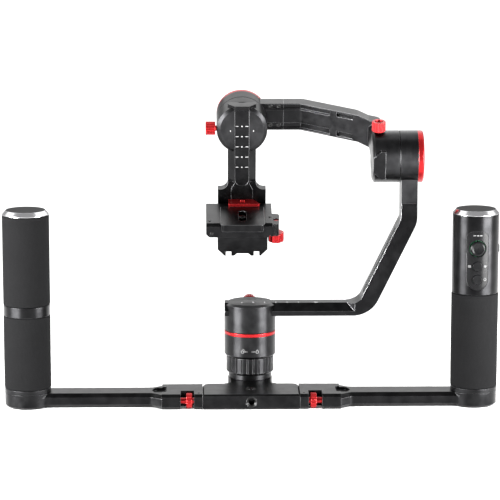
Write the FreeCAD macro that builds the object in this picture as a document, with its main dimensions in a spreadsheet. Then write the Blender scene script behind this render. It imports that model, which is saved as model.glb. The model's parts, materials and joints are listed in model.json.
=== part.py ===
"""Two-handed three-axis gimbal stabilizer, as a parametric FreeCAD document.

Frame: X to the right, Y away from the person holding it, Z up. The origin is the centre of the centre
plate's bottom face, so the plate, both side arms and both grips stand on Z = 0. Millimetres and degrees.

The base carries the pan motor, whose axis is Z. The pan arm carries the roll motor, whose axis is X, and
the roll arm carries the tilt motor. The roll arm hangs at its rest droop, so everything it carries is
modelled in a frame turned about X by that angle, with its origin on the roll axis.
"""
import FreeCAD, Part
import math
import os
import Sketcher

DIMENSIONS = [
    # centre plate
    ("plate_width", 86.0, "centre plate, along X"),
    ("plate_depth", 43.7, "centre plate, along Y"),
    ("plate_height", 13.8, "centre plate and joint blocks, along Z"),
    ("plate_bevel", 1.5, "bevel of the plate's long edges"),
    ("plate_corner", 7.0, "rear corners in plan"),
    ("column_y", 50.0, "pan axis behind the plate's centre"),
    ("tongue_width", 36.0, "tongue from the plate to the column socket"),
    ("tongue_fillet", 5.0, "inside corners of the tongue"),
    ("socket_radius", 20.0, "column socket, outside"),
    ("socket_floor", 3.0, "floor under the column spigot"),
    ("spigot_radius", 14.0, "spigot of the pan motor's base"),
    ("thread_radius", 3.175, "quarter-inch mounting threads"),
    ("insert_radius", 4.75, "steel thread inserts, outside"),
    ("front_insert_depth", 9.0, "front thread insert"),
    ("top_insert_depth", 6.5, "top thread insert"),
    # fits
    ("face_gap", 0.2, "gap between faces that turn or slide past each other"),
    ("slide_clearance", 0.15, "each side of a bar in its channel"),
    ("bearing_clearance", 0.03, "shaft in bearing, radial"),
    ("curve_gap", 0.35, "gap between curved faces of different bodies"),
    ("seat_clearance", 0.05, "pieces fixed in each other, radial"),
    # locking ring
    ("ring_radius", 21.5, "locking ring, outside"),
    ("ring_foot_radius", 19.5, "locking ring, lower part"),
    ("ring_foot_height", 4.2, "lower part of the locking ring"),
    ("ring_chamfer", 2.0, "height of the ring's chamfer"),
    ("ring_flutes", 26.0, "grooves round the locking ring"),
    ("ring_flute_radius", 0.8, "radius of one groove"),
    # motors
    ("motor_radius", 23.3, "all three motors"),
    ("motor_wall", 2.4, "motor housing wall"),
    ("motor_bevel", 3.1, "bevel round a rotor's outer face, radial"),
    ("motor_bevel_depth", 1.7, "bevel round a rotor's outer face, axial"),
    ("motor_floor", 3.0, "rotor floor under its channel"),
    ("motor_end", 2.5, "end wall of a stator housing"),
    ("seam_gap", 0.3, "running gap between rotor and stator"),
    ("seam_chamfer", 0.35, "small chamfer each side of the seam"),
    ("hub_radius", 9.5, "bearing hub inside a stator"),
    ("bearing_radius", 7.0, "bearing, outside"),
    ("bearing_length", 4.0, "bearing, along its axis"),
    ("shaft_radius", 4.0, "motor shaft"),
    ("winding_gap", 0.55, "between the winding and the magnets, radial"),
    ("magnet_thickness", 2.3, "magnet ring"),
    ("coil_length", 8.6, "stator winding, along its axis"),
    ("cap_length", 5.0, "red end cap"),
    ("cap_chamfer", 1.1, "edge of the end cap"),
    ("pan_seam_height", 57.3, "seam of the pan motor above the ground"),
    ("pan_rotor_length", 25.4, "pan rotor"),
    ("pan_housing_bottom", 34.3, "lower end of the pan motor's base"),
    ("pan_accent_height", 3.1, "red ring of the pan motor"),
    ("pan_chamfer", 1.7, "lower chamfer of the pan motor's base"),
    # sliding bars
    ("bar_width", 26.0, "arm width and bar base width"),
    ("bar_face", 13.0, "narrow face of a sliding bar"),
    ("bar_slope", 6.9, "height of a sliding bar's slopes"),
    ("bar_depth", 11.1, "thickness of a sliding bar"),
    ("arm_thickness", 14.5, "thickness of the pan arm past its bar"),
    # pan arm
    ("pan_bar_start", -23.0, "left end of the pan bar"),
    ("pan_bar_end", 87.0, "where the pan bar's slopes start to run out"),
    ("pan_runout", 7.0, "length of the slanted run-out"),
    ("pan_elbow_x", 97.5, "inner corner of the pan arm's lower bend"),
    ("pan_elbow_radius", 11.0, "inner radius of the lower bend"),
    ("pan_shoulder_x", 135.0, "inner face of the upright"),
    ("pan_lean", 26.0, "lean of the slanted part from the vertical"),
    ("pan_shoulder_radius", 9.0, "inner radius of the upper bend"),
    ("pan_arm_top", 174.0, "seam between the pan arm and the roll motor's stem"),
    # roll motor
    ("roll_height", 214.8, "roll axis above the ground"),
    ("roll_face_x", 109.0, "outer face of the roll rotor"),
    ("roll_rotor_length", 24.2, "roll rotor"),
    ("roll_stator_length", 16.0, "roll stator"),
    ("droop", 13.0, "rest angle of the camera frame about the roll axis's X"),
    # knobs
    ("knob_radius", 6.2, "clamp knobs"),
    ("knob_length", 9.0, "clamp knobs"),
    ("knob_gap", 1.2, "from a motor's side to its knob"),
    ("knob_screw_radius", 2.5, "clamp screws"),
    ("knob_depth", 5.6, "clamp screw axis behind the rotor's face"),
    ("knob_recess_radius", 3.75, "recess in a knob's end"),
    ("knob_recess_depth", 1.6, "recess in a knob's end"),
    ("knob_flutes", 16.0, "grooves round a knob"),
    ("knob_flute_radius", 0.75, "radius of a knob's groove"),
    ("hex_radius", 1.9, "hex socket in a knob, corner radius"),
    # roll arm
    ("roll_bar_start", -23.0, "front end of the roll bar"),
    ("roll_reach_front", 93.5, "front face of the roll arm's cross part"),
    ("roll_cross_thickness", 13.5, "cross part of the roll arm"),
    ("roll_slant_thickness", 13.0, "slanted part of the roll arm"),
    ("roll_slant", 31.2, "angle of the slanted part from X"),
    ("roll_bend_x", 48.0, "front corner where the slanted part starts"),
    ("roll_arm_top", 15.8, "top of the cross part above the tilt axis"),
    ("roll_arm_bottom", -10.0, "bottom of the cross part below the tilt axis"),
    ("roll_flange", 1.0, "thin rims of the grooved front face"),
    ("roll_web_top", 9.9, "upper edge of the raised band"),
    ("roll_web_bottom", -3.1, "lower edge of the raised band"),
    ("roll_groove_depth", 3.0, "grooves in the front face"),
    ("roll_groove_end_x", 75.0, "round pockets at the end of the grooves"),
    ("roll_joint_x", 32.8, "seam between the bracket and the roll arm"),
    ("bracket_screw_inset", 3.6, "bracket screws from their edges"),
    ("small_screw_radius", 1.25, "small machine screws"),
    ("small_head_radius", 2.1, "heads of the small machine screws"),
    # tilt motor and arm
    ("tilt_x", -6.0, "tilt axis, along X"),
    ("tilt_face", 66.5, "outer face of the tilt rotor, along the tilt axis"),
    ("tilt_rotor_length", 24.9, "tilt rotor"),
    ("tilt_stator_length", 15.6, "tilt stator"),
    ("tilt_bar_top", 23.0, "upper end of the tilt bar"),
    ("track_width", 12.6, "recessed track of the tilt bar"),
    ("track_depth", 0.8, "recessed track of the tilt bar"),
    ("track_top", 19.0, "upper end of the track"),
    ("track_bottom", -55.0, "lower end of the track"),
    ("foot_width", 44.5, "foot of the tilt arm"),
    ("foot_top", -59.3, "top of the foot"),
    ("foot_fillet", 7.0, "curve from the bar into the foot"),
    ("foot_front", 68.0, "front face of the foot"),
    # camera platform
    ("clamp_top", -71.0, "top of the camera clamp"),
    ("clamp_height", 13.0, "camera clamp"),
    ("clamp_front", 13.0, "front of the camera clamp"),
    ("clamp_back", 62.5, "back of the camera clamp"),
    ("clamp_left", -33.3, "left side of the clamp from the tilt axis"),
    ("clamp_right", 27.1, "right side of the clamp from the tilt axis"),
    ("clamp_bevel", 2.6, "bevel of the clamp's front top edge"),
    ("ear_width", 6.8, "ribbed ear on the right"),
    ("ear_back", 40.0, "back of the ear"),
    ("ear_height", 11.5, "ribbed ear"),
    ("ear_rib", 1.2, "grooves of the ribbed ear"),
    ("plate_slot_width", 40.4, "camera plate, at its top"),
    ("plate_taper", 1.6, "the camera plate's sides lean in by this"),
    ("plate_thickness", 6.7, "camera plate"),
    ("plate_overhang", 2.2, "camera plate ahead of the clamp"),
    ("plate_length", 43.0, "camera plate, front to back"),
    ("camera_slot_length", 24.0, "slot for the camera screw"),
    ("screw_pocket", 5.2, "pocket for the camera screw's head, under the camera plate"),
    ("screw_head", 1.5, "head of the camera screw"),
    ("cradle_width", 45.6, "cradle block"),
    ("cradle_height", 19.5, "cradle block"),
    ("cradle_front", 16.0, "front of the cradle block"),
    ("cradle_chamfer", 6.3, "lower corners of the cradle block"),
    ("cradle_slot_width", 5.0, "slots under the cradle block"),
    ("cradle_slot_depth", 4.2, "slots under the cradle block"),
    ("cradle_slot_place", 12.8, "slots from the tilt axis"),
    ("cradle_recess_width", 10.6, "shallow recess between the slots"),
    ("cradle_recess_depth", 2.3, "shallow recess between the slots"),
    ("plate_knob_radius", 7.4, "plate knob"),
    ("plate_knob_length", 8.5, "plate knob"),
    ("latch_width", 30.0, "safety latch"),
    ("latch_depth", 12.0, "safety latch"),
    ("latch_thickness", 2.6, "safety latch"),
    ("latch_offset", 2.1, "safety latch's middle, right of the tilt arm's"),
    # side arms
    ("flange_width", 7.6, "flange of a joint block beside the plate"),
    ("window_width", 11.9, "window for a thumbwheel"),
    ("window_back", -6.0, "back of the window"),
    ("block_length", 36.0, "joint block"),
    ("block_bevel", 2.5, "bevel of a joint block"),
    ("neck_length", 9.5, "curve from the joint block into the arm"),
    ("neck_radius", 5.0, "corners of that curve"),
    ("side_arm_width", 27.6, "side arm"),
    ("side_arm_height", 13.0, "side arm"),
    ("side_arm_bevel", 3.3, "bevel of a side arm"),
    ("grip_x", 197.8, "grip axis from the plate's centre"),
    ("hub_chamfer", 2.0, "lower edge of a grip's hub"),
    ("scoop_depth", 2.6, "hollow on top of the neck"),
    ("wheel_y", -15.0, "thumbwheel axis"),
    ("wheel_radius", 6.75, "thumbwheels"),
    ("wheel_length", 5.2, "thumbwheels"),
    ("wheel_screw_radius", 2.8, "screw of a thumbwheel"),
    # grips
    ("grip_radius", 20.5, "metal parts of a grip"),
    ("grip_base_height", 4.0, "metal ring under a grip"),
    ("grip_height", 175.8, "top of a grip above the ground"),
    ("grip_cap_height", 4.0, "bright cap of a grip"),
    ("grip_cap_inset", 3.0, "slope of the cap"),
    ("core_radius", 17.5, "tube inside a grip"),
    ("cell_bay_radius", 11.6, "battery bay"),
    ("foam_radius", 20.75, "foam sleeve"),
    ("left_band_bottom", 82.2, "gloss ring of the left grip"),
    ("left_band_top", 91.7, "gloss ring of the left grip"),
    ("head_bottom", 101.3, "metal head of the right grip"),
    ("cell_radius", 11.0, "battery cell"),
    ("cell_length", 64.0, "battery cell"),
    ("cell_bottom", 22.5, "lower end of the lower cell"),
    ("panel_width", 18.7, "control panel"),
    ("panel_bottom", 106.4, "control panel"),
    ("panel_top", 158.3, "control panel"),
    ("panel_corner", 5.5, "upper corners of the control panel"),
    ("panel_depth", 3.2, "control panel"),
    ("panel_inset", 0.25, "control panel below the head's surface"),
    ("joystick_height", 143.3, "joystick centre"),
    ("joystick_hole", 7.6, "joystick opening radius"),
    ("joystick_radius", 6.4, "joystick cap"),
    ("pivot_radius", 0.6, "pivot pins of the joystick"),
    ("mode_height", 127.5, "mode button centre"),
    ("power_height", 115.8, "power button centre"),
    ("button_radius", 4.25, "round buttons"),
    ("button_proud", 0.7, "buttons above the panel"),
    ("button_clearance", 0.25, "round a button"),
    ("side_button_height", 140.5, "side button centre"),
]


class Size:
    """A number with the spreadsheet formula that works it out."""

    def __init__(self, value, formula):
        self.value = float(value)
        self.formula = formula

    def __add__(self, other):
        other = as_size(other)
        return Size(self.value + other.value, f"({self.formula} + {other.formula})")

    def __sub__(self, other):
        other = as_size(other)
        return Size(self.value - other.value, f"({self.formula} - {other.formula})")

    def __mul__(self, other):
        other = as_size(other)
        return Size(self.value * other.value, f"({self.formula} * {other.formula})")

    def __truediv__(self, other):
        other = as_size(other)
        return Size(self.value / other.value, f"({self.formula} / {other.formula})")

    def __radd__(self, other):
        return as_size(other) + self

    def __rsub__(self, other):
        return as_size(other) - self

    def __rmul__(self, other):
        return as_size(other) * self

    def __neg__(self):
        return as_size(0) - self


def as_size(number):
    if isinstance(number, Size):
        return number
    return Size(number, f"({float(number)!r})")


def sine(angle):
    return Size(math.sin(math.radians(angle.value)), f"sin({angle.formula})")


def cosine(angle):
    return Size(math.cos(math.radians(angle.value)), f"cos({angle.formula})")


def root(number):
    return Size(math.sqrt(number.value), f"sqrt({number.formula})")


doc = FreeCAD.newDocument("GimbalStabilizer")
sheet = doc.addObject("Spreadsheet::Sheet", "Dimensions")
for row, (alias, number, note) in enumerate(DIMENSIONS, start=1):
    sheet.set(f"A{row}", note)
    sheet.set(f"B{row}", str(number))
    sheet.setAlias(f"B{row}", alias)
doc.recompute()


class SheetSizes:
    """Every alias of the sheet as a Size, such as D.plate_width."""

    def __getattr__(self, alias):
        return Size(getattr(sheet, alias), f"Dimensions.{alias}")


D = SheetSizes()
parts = []


# ---------------------------------------------------------------- frames

class Frame:
    """Where a sub-part's own axes lie: an origin, and a turn about one axis."""

    def __init__(self, x=0, y=0, z=0, turn=0, about=(1, 0, 0)):
        self.origin = [as_size(number) for number in (x, y, z)]
        self.turn = as_size(turn)
        self.about = FreeCAD.Vector(*about)


def in_droop(x, y, z):
    """The world place of a point given in the drooped frame."""
    side, lift = cosine(D.droop), sine(D.droop)
    return (as_size(x), D.column_y + y * side - z * lift, D.roll_height + y * lift + z * side)


WORLD = Frame()
PAN = Frame(y=D.column_y)
ROLL = Frame(y=D.column_y, z=D.roll_height)
DROOP = Frame(y=D.column_y, z=D.roll_height, turn=D.droop)
TILT = Frame(x=D.tilt_x, y=D.column_y, z=D.roll_height, turn=D.droop)


def new_part(label, frame=WORLD):
    """A body with its own label and a placement bound to the sheet."""
    body = doc.addObject("PartDesign::Body", label)
    body.Label = label
    body.AllowCompound = True
    body.Placement = FreeCAD.Placement(
        FreeCAD.Vector(), FreeCAD.Rotation(frame.about, frame.turn.value))
    for letter, place in zip("xyz", frame.origin):
        body.setExpression(f"Placement.Base.{letter}", place.formula)
    if frame.turn.value:
        body.setExpression("Placement.Rotation.Angle", frame.turn.formula)
    parts.append(body)
    return body


# ---------------------------------------------------------------- sketches

class Circle:
    def __init__(self, x, y, radius):
        self.x, self.y, self.radius = as_size(x), as_size(y), as_size(radius)


class ArcTo:
    """The end of an arc of less than a half turn that starts at the outline's previous point."""

    def __init__(self, x, y, radius, clockwise=False):
        self.x, self.y, self.radius, self.clockwise = as_size(x), as_size(y), as_size(radius), clockwise


def rounded_corner(before, corner, after, radius):
    """The tangent points of a corner's arc, from the lengths and directions of its two sides."""
    in_x, in_y = corner[0] - before[0], corner[1] - before[1]
    out_x, out_y = after[0] - corner[0], after[1] - corner[1]
    in_length = root(in_x * in_x + in_y * in_y)
    out_length = root(out_x * out_x + out_y * out_y)
    in_x, in_y = in_x / in_length, in_y / in_length
    out_x, out_y = out_x / out_length, out_y / out_length
    cross = in_x * out_y - in_y * out_x
    dot = in_x * out_x + in_y * out_y
    turn = cross if cross.value > 0 else -cross
    reach = radius * turn / (dot + 1)
    start = (corner[0] - in_x * reach, corner[1] - in_y * reach)
    end = (corner[0] + out_x * reach, corner[1] + out_y * reach)
    return start, end, cross.value < 0


def outline_steps(points):
    """A closed outline as [(x, y, arc that leads here or None)]."""
    plain = [(p.x, p.y) if isinstance(p, ArcTo) else (as_size(p[0]), as_size(p[1])) for p in points]
    steps = []
    for i, point in enumerate(points):
        if isinstance(point, ArcTo):
            steps.append((point.x, point.y, (point.radius, point.clockwise)))
        elif len(point) == 3:
            radius = as_size(point[2])
            start, end, clockwise = rounded_corner(
                plain[i - 1], plain[i], plain[(i + 1) % len(points)], radius)
            steps.append((*start, None))
            steps.append((*end, (radius, clockwise)))
        else:
            steps.append((*plain[i], None))
    kept = []
    for step in steps:
        touches = kept and step[2] is None and math.dist(
            (kept[-1][0].value, kept[-1][1].value), (step[0].value, step[1].value)) < 1e-6
        if not touches:
            kept.append(step)
    return kept


def arc_geometry(start, end, radius, clockwise):
    """A sketch arc, which always runs anticlockwise, and whether its ends are swapped."""
    chord = end - start
    half = chord.Length / 2
    rise = math.sqrt(max(radius ** 2 - half ** 2, 0.0))
    normal = FreeCAD.Vector(-chord.y, chord.x, 0).normalize()
    centre = (start + end) * 0.5 + normal * (-rise if clockwise else rise)
    first, last = (end, start) if clockwise else (start, end)
    angles = [math.atan2(p.y - centre.y, p.x - centre.x) for p in (first, last)]
    circle = Part.Circle(centre, FreeCAD.Vector(0, 0, 1), radius)
    return Part.ArcOfCircle(circle, *angles)


def draw(sketch, outline):
    """One closed outline whose every point is tied to the sheet."""
    constraints, formulas = [], []

    def tie(kind, target, size):
        formulas.append((len(constraints), size.formula))
        constraints.append(Sketcher.Constraint(kind, *target, size.value))

    if isinstance(outline, Circle):
        centre = FreeCAD.Vector(outline.x.value, outline.y.value, 0)
        index = sketch.addGeometry(Part.Circle(centre, FreeCAD.Vector(0, 0, 1), outline.radius.value))
        tie("DistanceX", (index, 3), outline.x)
        tie("DistanceY", (index, 3), outline.y)
        tie("Radius", (index,), outline.radius)
    else:
        steps = outline_steps(outline)
        spans = []
        for i, step in enumerate(steps):
            following = steps[(i + 1) % len(steps)]
            start = FreeCAD.Vector(step[0].value, step[1].value, 0)
            end = FreeCAD.Vector(following[0].value, following[1].value, 0)
            if following[2] is None:
                index = sketch.addGeometry(Part.LineSegment(start, end))
                spans.append((index, 1, 2))
            else:
                radius, clockwise = following[2]
                index = sketch.addGeometry(arc_geometry(start, end, radius.value, clockwise))
                spans.append((index, 2, 1) if clockwise else (index, 1, 2))
                tie("Radius", (index,), radius)
        for i, (index, first, last) in enumerate(spans):
            before = spans[i - 1]
            constraints.append(Sketcher.Constraint("Coincident", before[0], before[2], index, first))
            tie("DistanceX", (index, first), steps[i][0])
            tie("DistanceY", (index, first), steps[i][1])
    base = sketch.ConstraintCount
    sketch.addConstraint(constraints)
    for index, formula in formulas:
        sketch.setExpression(f"Constraints[{base + index}]", formula)


def new_sketch(body, plane, outlines, offset=0):
    """A sketch on one of the body's own origin planes, moved along the plane's normal."""
    sketch = body.newObject("Sketcher::SketchObject", "Sketch")
    support = next(f for f in body.Origin.OriginFeatures if f.Role == f"{plane}_Plane")
    sketch.AttachmentSupport = [(support, "")]
    sketch.MapMode = "FlatFace"
    sketch.setExpression("AttachmentOffset.Base.z", as_size(offset).formula)
    for outline in outlines:
        draw(sketch, outline)
    return sketch


def prism(body, plane, outlines, low, high, cut=False):
    """Adds or cuts outlines between two places on the axis across the plane.

    The XZ plane's normal points along -Y, so there the places change sign. A pad runs along the normal
    and a pocket against it.
    """
    low, high = as_size(low), as_size(high)
    backwards = plane == "XZ"
    start = (low if cut else high) if backwards else (high if cut else low)
    sketch = new_sketch(body, plane, outlines, -start if backwards else start)
    feature = body.newObject("PartDesign::Pocket" if cut else "PartDesign::Pad", "Prism")
    feature.Profile = sketch
    feature.setExpression("Length", (high - low).formula)
    sketch.Visibility = False
    return feature


def spin(body, axis, outlines, cut=False):
    """Adds or cuts a ring whose outlines are given as (radius, place along the axis)."""
    def turned(outline):
        if axis == "Z":
            return outline
        return [(p[1], p[0], *p[2:]) for p in outline]

    plane = "YZ" if axis == "Y" else "XZ"
    sketch = new_sketch(body, plane, [turned(outline) for outline in outlines])
    feature = body.newObject("PartDesign::Groove" if cut else "PartDesign::Revolution", "Spin")
    feature.Profile = sketch
    feature.ReferenceAxis = (sketch, ["V_Axis" if axis == "Z" else "H_Axis"])
    feature.Angle = 360
    sketch.Visibility = False
    return feature


def repeat(body, feature, count):
    """Repeats a feature round the axis that its sketch looks along."""
    pattern = body.newObject("PartDesign::PolarPattern", "Repeat")
    pattern.Originals = [feature]
    pattern.Axis = (feature.Profile[0], ["N_Axis"])
    pattern.Angle = 360
    pattern.setExpression("Occurrences", count.formula)
    body.Tip = pattern
    return pattern


def cut_edges(body, kind, size, wanted):
    """A chamfer or fillet on the tip's edges that wanted() picks by their ends."""
    doc.recompute()
    base = body.Tip
    names = []
    for number, edge in enumerate(base.Shape.Edges, start=1):
        ends = [vertex.Point for vertex in edge.Vertexes]
        if wanted(ends):
            names.append(f"Edge{number}")
    feature = body.newObject(f"PartDesign::{kind}", kind)
    feature.Base = (base, names)
    feature.setExpression("Size" if kind == "Chamfer" else "Radius", as_size(size).formula)
    return feature


def near(a, b):
    return abs(a - as_size(b).value) < 1e-4


def rectangle(x0, y0, x1, y1, radius=None):
    corners = [(x0, y0), (x1, y0), (x1, y1), (x0, y1)]
    return [(*corner, radius) if radius is not None else corner for corner in corners]


def stadium(x, y0, y1, radius):
    """An upright slot with round ends, from y0 to y1."""
    return [
        (x + radius, y0 + radius),
        (x + radius, y1 - radius),
        ArcTo(x, y1, radius),
        ArcTo(x - radius, y1 - radius, radius),
        (x - radius, y0 + radius),
        ArcTo(x, y0, radius),
        ArcTo(x + radius, y0 + radius, radius),
    ][1:]


def polygon(count, radius):
    return [(radius * math.cos(2 * math.pi * i / count), radius * math.sin(2 * math.pi * i / count))
            for i in range(count)]


def mirrored(side, low, high):
    """A span along X on the right (side 1) or the left (side -1)."""
    return (as_size(low), as_size(high)) if side > 0 else (-as_size(high), -as_size(low))


# ---------------------------------------------------------------- centre plate

half_width = D.plate_width / 2
half_depth = D.plate_depth / 2
mid_height = D.plate_height / 2


def make_centre_plate():
    body = new_part("centre_plate")
    outline = [
        (-half_width, -half_depth),
        (half_width, -half_depth),
        (half_width, half_depth, D.plate_corner),
        (-half_width, half_depth, D.plate_corner),
    ]
    prism(body, "XY", [outline], 0, D.plate_height)
    cut_edges(body, "Chamfer", D.plate_bevel, lambda ends: len(ends) == 2
              and near(ends[0].z, ends[1].z)
              and not (near(abs(ends[0].x), half_width) and near(abs(ends[1].x), half_width)
                       and near(ends[0].x, ends[1].x)))
    side = D.tongue_width / 2
    tongue = [
        (-side - D.tongue_fillet, half_depth - D.tongue_fillet),
        (side + D.tongue_fillet, half_depth - D.tongue_fillet),
        (side + D.tongue_fillet, half_depth),
        (side, half_depth, D.tongue_fillet),
        (side, D.column_y),
        (-side, D.column_y),
        (-side, half_depth, D.tongue_fillet),
        (-side - D.tongue_fillet, half_depth),
    ]
    prism(body, "XY", [tongue], 0, D.plate_height)
    prism(body, "XY", [Circle(0, D.column_y, D.socket_radius)], 0, D.plate_height)
    prism(body, "XY", [Circle(0, D.column_y, D.spigot_radius + D.seat_clearance)],
          D.socket_floor, D.plate_height, cut=True)
    hole = D.insert_radius + D.seat_clearance
    prism(body, "XZ", [Circle(0, mid_height, hole)], -half_depth, D.front_insert_depth - half_depth, cut=True)
    prism(body, "XY", [Circle(0, 0, hole)], D.plate_height - D.top_insert_depth, D.plate_height, cut=True)
    screw_hole = Circle(D.wheel_y, mid_height, D.wheel_screw_radius + D.curve_gap)
    depth = D.flange_width + 4
    prism(body, "YZ", [screw_hole], half_width - depth, half_width, cut=True)
    prism(body, "YZ", [screw_hole], -half_width, depth - half_width, cut=True)


def insert_profile(mouth, end):
    """Half section of a thread insert from its countersunk mouth to its far end."""
    sink = 0.9 if end.value > mouth.value else -0.9
    return [
        (D.thread_radius, mouth + sink),
        (D.thread_radius + 0.9, mouth),
        (D.insert_radius, mouth),
        (D.insert_radius, end),
        (D.thread_radius, end),
    ]


def make_thread_inserts():
    """Two steel inserts in one node: the front one lies along Y, the top one along Z."""
    body = new_part("thread_inserts", Frame(z=mid_height))
    spin(body, "Y", [insert_profile(0.05 - half_depth, D.front_insert_depth - half_depth)])
    mouth, end = mid_height - 0.05, mid_height - D.top_insert_depth
    spin(body, "Z", [insert_profile(mouth, end)])


# ---------------------------------------------------------------- motors

class Motor:
    """Sizes of one motor along its axis. A place s is measured from the rotor's outer face inward."""

    def __init__(self, name, axis, frame, rotor_frame, face, direction, rotor_length, end):
        self.name, self.axis, self.frame, self.rotor_frame = name, axis, frame, rotor_frame
        self.face, self.direction = face, direction
        self.rotor_length = rotor_length
        self.seam = rotor_length + D.seam_gap
        self.end = end
        self.channel_floor = D.bar_depth + D.slide_clearance
        self.cavity = self.channel_floor + D.motor_floor
        self.cavity_radius = D.motor_radius - D.motor_wall
        self.hub_start = self.cavity + 1.4

    def at(self, place):
        return self.face + place * self.direction

    def ring(self, points):
        """An outline in (radius, s) as an outline in (radius, place along the axis)."""
        return [(p[0], self.at(p[1]), *p[2:]) for p in points]


def make_rotor(motor):
    body = new_part(f"{motor.name}_rotor", motor.rotor_frame)
    radius, wall = D.motor_radius, motor.cavity_radius
    shaft_seat = motor.cavity - 1.6
    spin(body, motor.axis, [motor.ring([
        (0, as_size(0)),
        (radius - D.motor_bevel, as_size(0)),
        (radius, D.motor_bevel_depth),
        (radius, motor.rotor_length - D.seam_chamfer),
        (radius - D.seam_chamfer, motor.rotor_length),
        (wall, motor.rotor_length),
        (wall, motor.cavity),
        (D.shaft_radius, motor.cavity),
        (D.shaft_radius, shaft_seat),
        (0, shaft_seat),
    ])])
    channel = bar_outline(motor.face, motor.direction, D.slide_clearance, opening=1.0)
    reach = radius + 1
    screw = D.knob_screw_radius + D.curve_gap
    depth = motor.at(D.knob_depth)
    inside = D.bar_width / 2
    if motor.axis == "Z":
        prism(body, "YZ", [[(across, place) for place, across in channel]], -reach, reach, cut=True)
        prism(body, "XZ", [Circle(0, depth, screw)], inside - 3, reach, cut=True)
    elif motor.axis == "X":
        prism(body, "XZ", [channel], -reach, reach, cut=True)
        prism(body, "XY", [Circle(depth, 0, screw)], inside - 3, reach, cut=True)
    else:
        prism(body, "XY", [[(across, place) for place, across in channel]], -reach, reach, cut=True)
        prism(body, "YZ", [Circle(depth, 0, screw)], -reach, 3 - inside, cut=True)
    return body


def bar_outline(face, direction, clearance, opening=0.0):
    """The bar's section as (depth, across) points: a narrow face, two slopes and an upright base.

    A channel has the same section grown by its clearance, and opens past the rotor's face.
    """
    narrow = D.bar_face / 2 + clearance
    wide = D.bar_width / 2 + clearance
    slope = face + D.bar_slope * direction
    back = face + (D.bar_depth + clearance) * direction
    front = face - as_size(opening) * direction
    points = [(front, -narrow)]
    if opening:
        points.append((face, -narrow))
    points += [(slope, -wide), (back, -wide), (back, wide), (slope, wide)]
    if opening:
        points.append((face, narrow))
    points.append((front, narrow))
    return points


def make_stator(motor, stem=None):
    """A drum with a hollow for the winding, a hub inside it, and the bearing bore in the hub."""
    body = new_part(f"{motor.name}_stator", motor.frame)
    if stem:
        stem(body)
    seam, end = motor.seam, motor.end
    hollow_end = end - D.motor_end
    spin(body, motor.axis, [motor.ring([
        (0, seam),
        (D.motor_radius - D.seam_chamfer, seam),
        (D.motor_radius, seam + D.seam_chamfer),
        (D.motor_radius, end),
        (0, end),
    ])])
    spin(body, motor.axis, [motor.ring([
        (D.hub_radius, seam),
        (motor.cavity_radius, seam),
        (motor.cavity_radius, hollow_end),
        (D.hub_radius, hollow_end),
    ])], cut=True)
    spin(body, motor.axis, [motor.ring([
        (0, motor.hub_start), (D.hub_radius, motor.hub_start), (D.hub_radius, seam + 1), (0, seam + 1)])])
    spin(body, motor.axis, [motor.ring([
        (0, motor.hub_start), (D.bearing_radius, motor.hub_start),
        (D.bearing_radius, hollow_end), (0, hollow_end)])], cut=True)
    return body


def make_motor_inside(motor):
    """Winding and bearings on the stator's side, magnets and shaft on the rotor's side."""
    start = motor.hub_start
    hollow_end = motor.end - D.motor_end
    coil = new_part(f"{motor.name}_coil", motor.frame)
    inner = D.hub_radius + D.seat_clearance
    magnet_outside = motor.cavity_radius - D.seat_clearance
    magnet_inside = magnet_outside - D.magnet_thickness
    outer = magnet_inside - D.winding_gap
    spin(coil, motor.axis, [motor.ring([
        (inner, start), (outer, start),
        (outer, start + D.coil_length), (inner, start + D.coil_length)])])

    bearings = new_part(f"{motor.name}_bearings", motor.frame)
    bore = D.shaft_radius + D.bearing_clearance
    outer = D.bearing_radius - D.seat_clearance
    rings = []
    for place in (start, hollow_end - D.bearing_length - 0.5):
        rings.append(motor.ring([
            (bore, place), (outer, place),
            (outer, place + D.bearing_length), (bore, place + D.bearing_length)]))
    spin(bearings, motor.axis, rings)

    magnets = new_part(f"{motor.name}_magnets", motor.rotor_frame)
    outside = motor.cavity_radius - D.seat_clearance
    inside = outside - D.magnet_thickness
    spin(magnets, motor.axis, [motor.ring([
        (inside, motor.cavity), (outside, motor.cavity),
        (outside, motor.rotor_length - 0.4), (inside, motor.rotor_length - 0.4)])])

    shaft = new_part(f"{motor.name}_shaft", motor.rotor_frame)
    first, last = motor.cavity - 1.6, hollow_end - 0.4
    spin(shaft, motor.axis, [motor.ring([
        (0, first), (D.shaft_radius, first), (D.shaft_radius, last), (0, last)])])


def make_end_cap(motor):
    body = new_part(f"{motor.name}_end_cap", motor.frame)
    start = motor.end
    spin(body, motor.axis, [motor.ring([
        (0, start),
        (D.motor_radius, start),
        (D.motor_radius, start + D.cap_length - D.cap_chamfer),
        (D.motor_radius - D.cap_chamfer, start + D.cap_length),
        (D.motor_radius - 4.4, start + D.cap_length),
        (D.motor_radius - 5.2, start + D.cap_length - 0.5),
        (0, start + D.cap_length - 0.5),
    ])])


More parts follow.
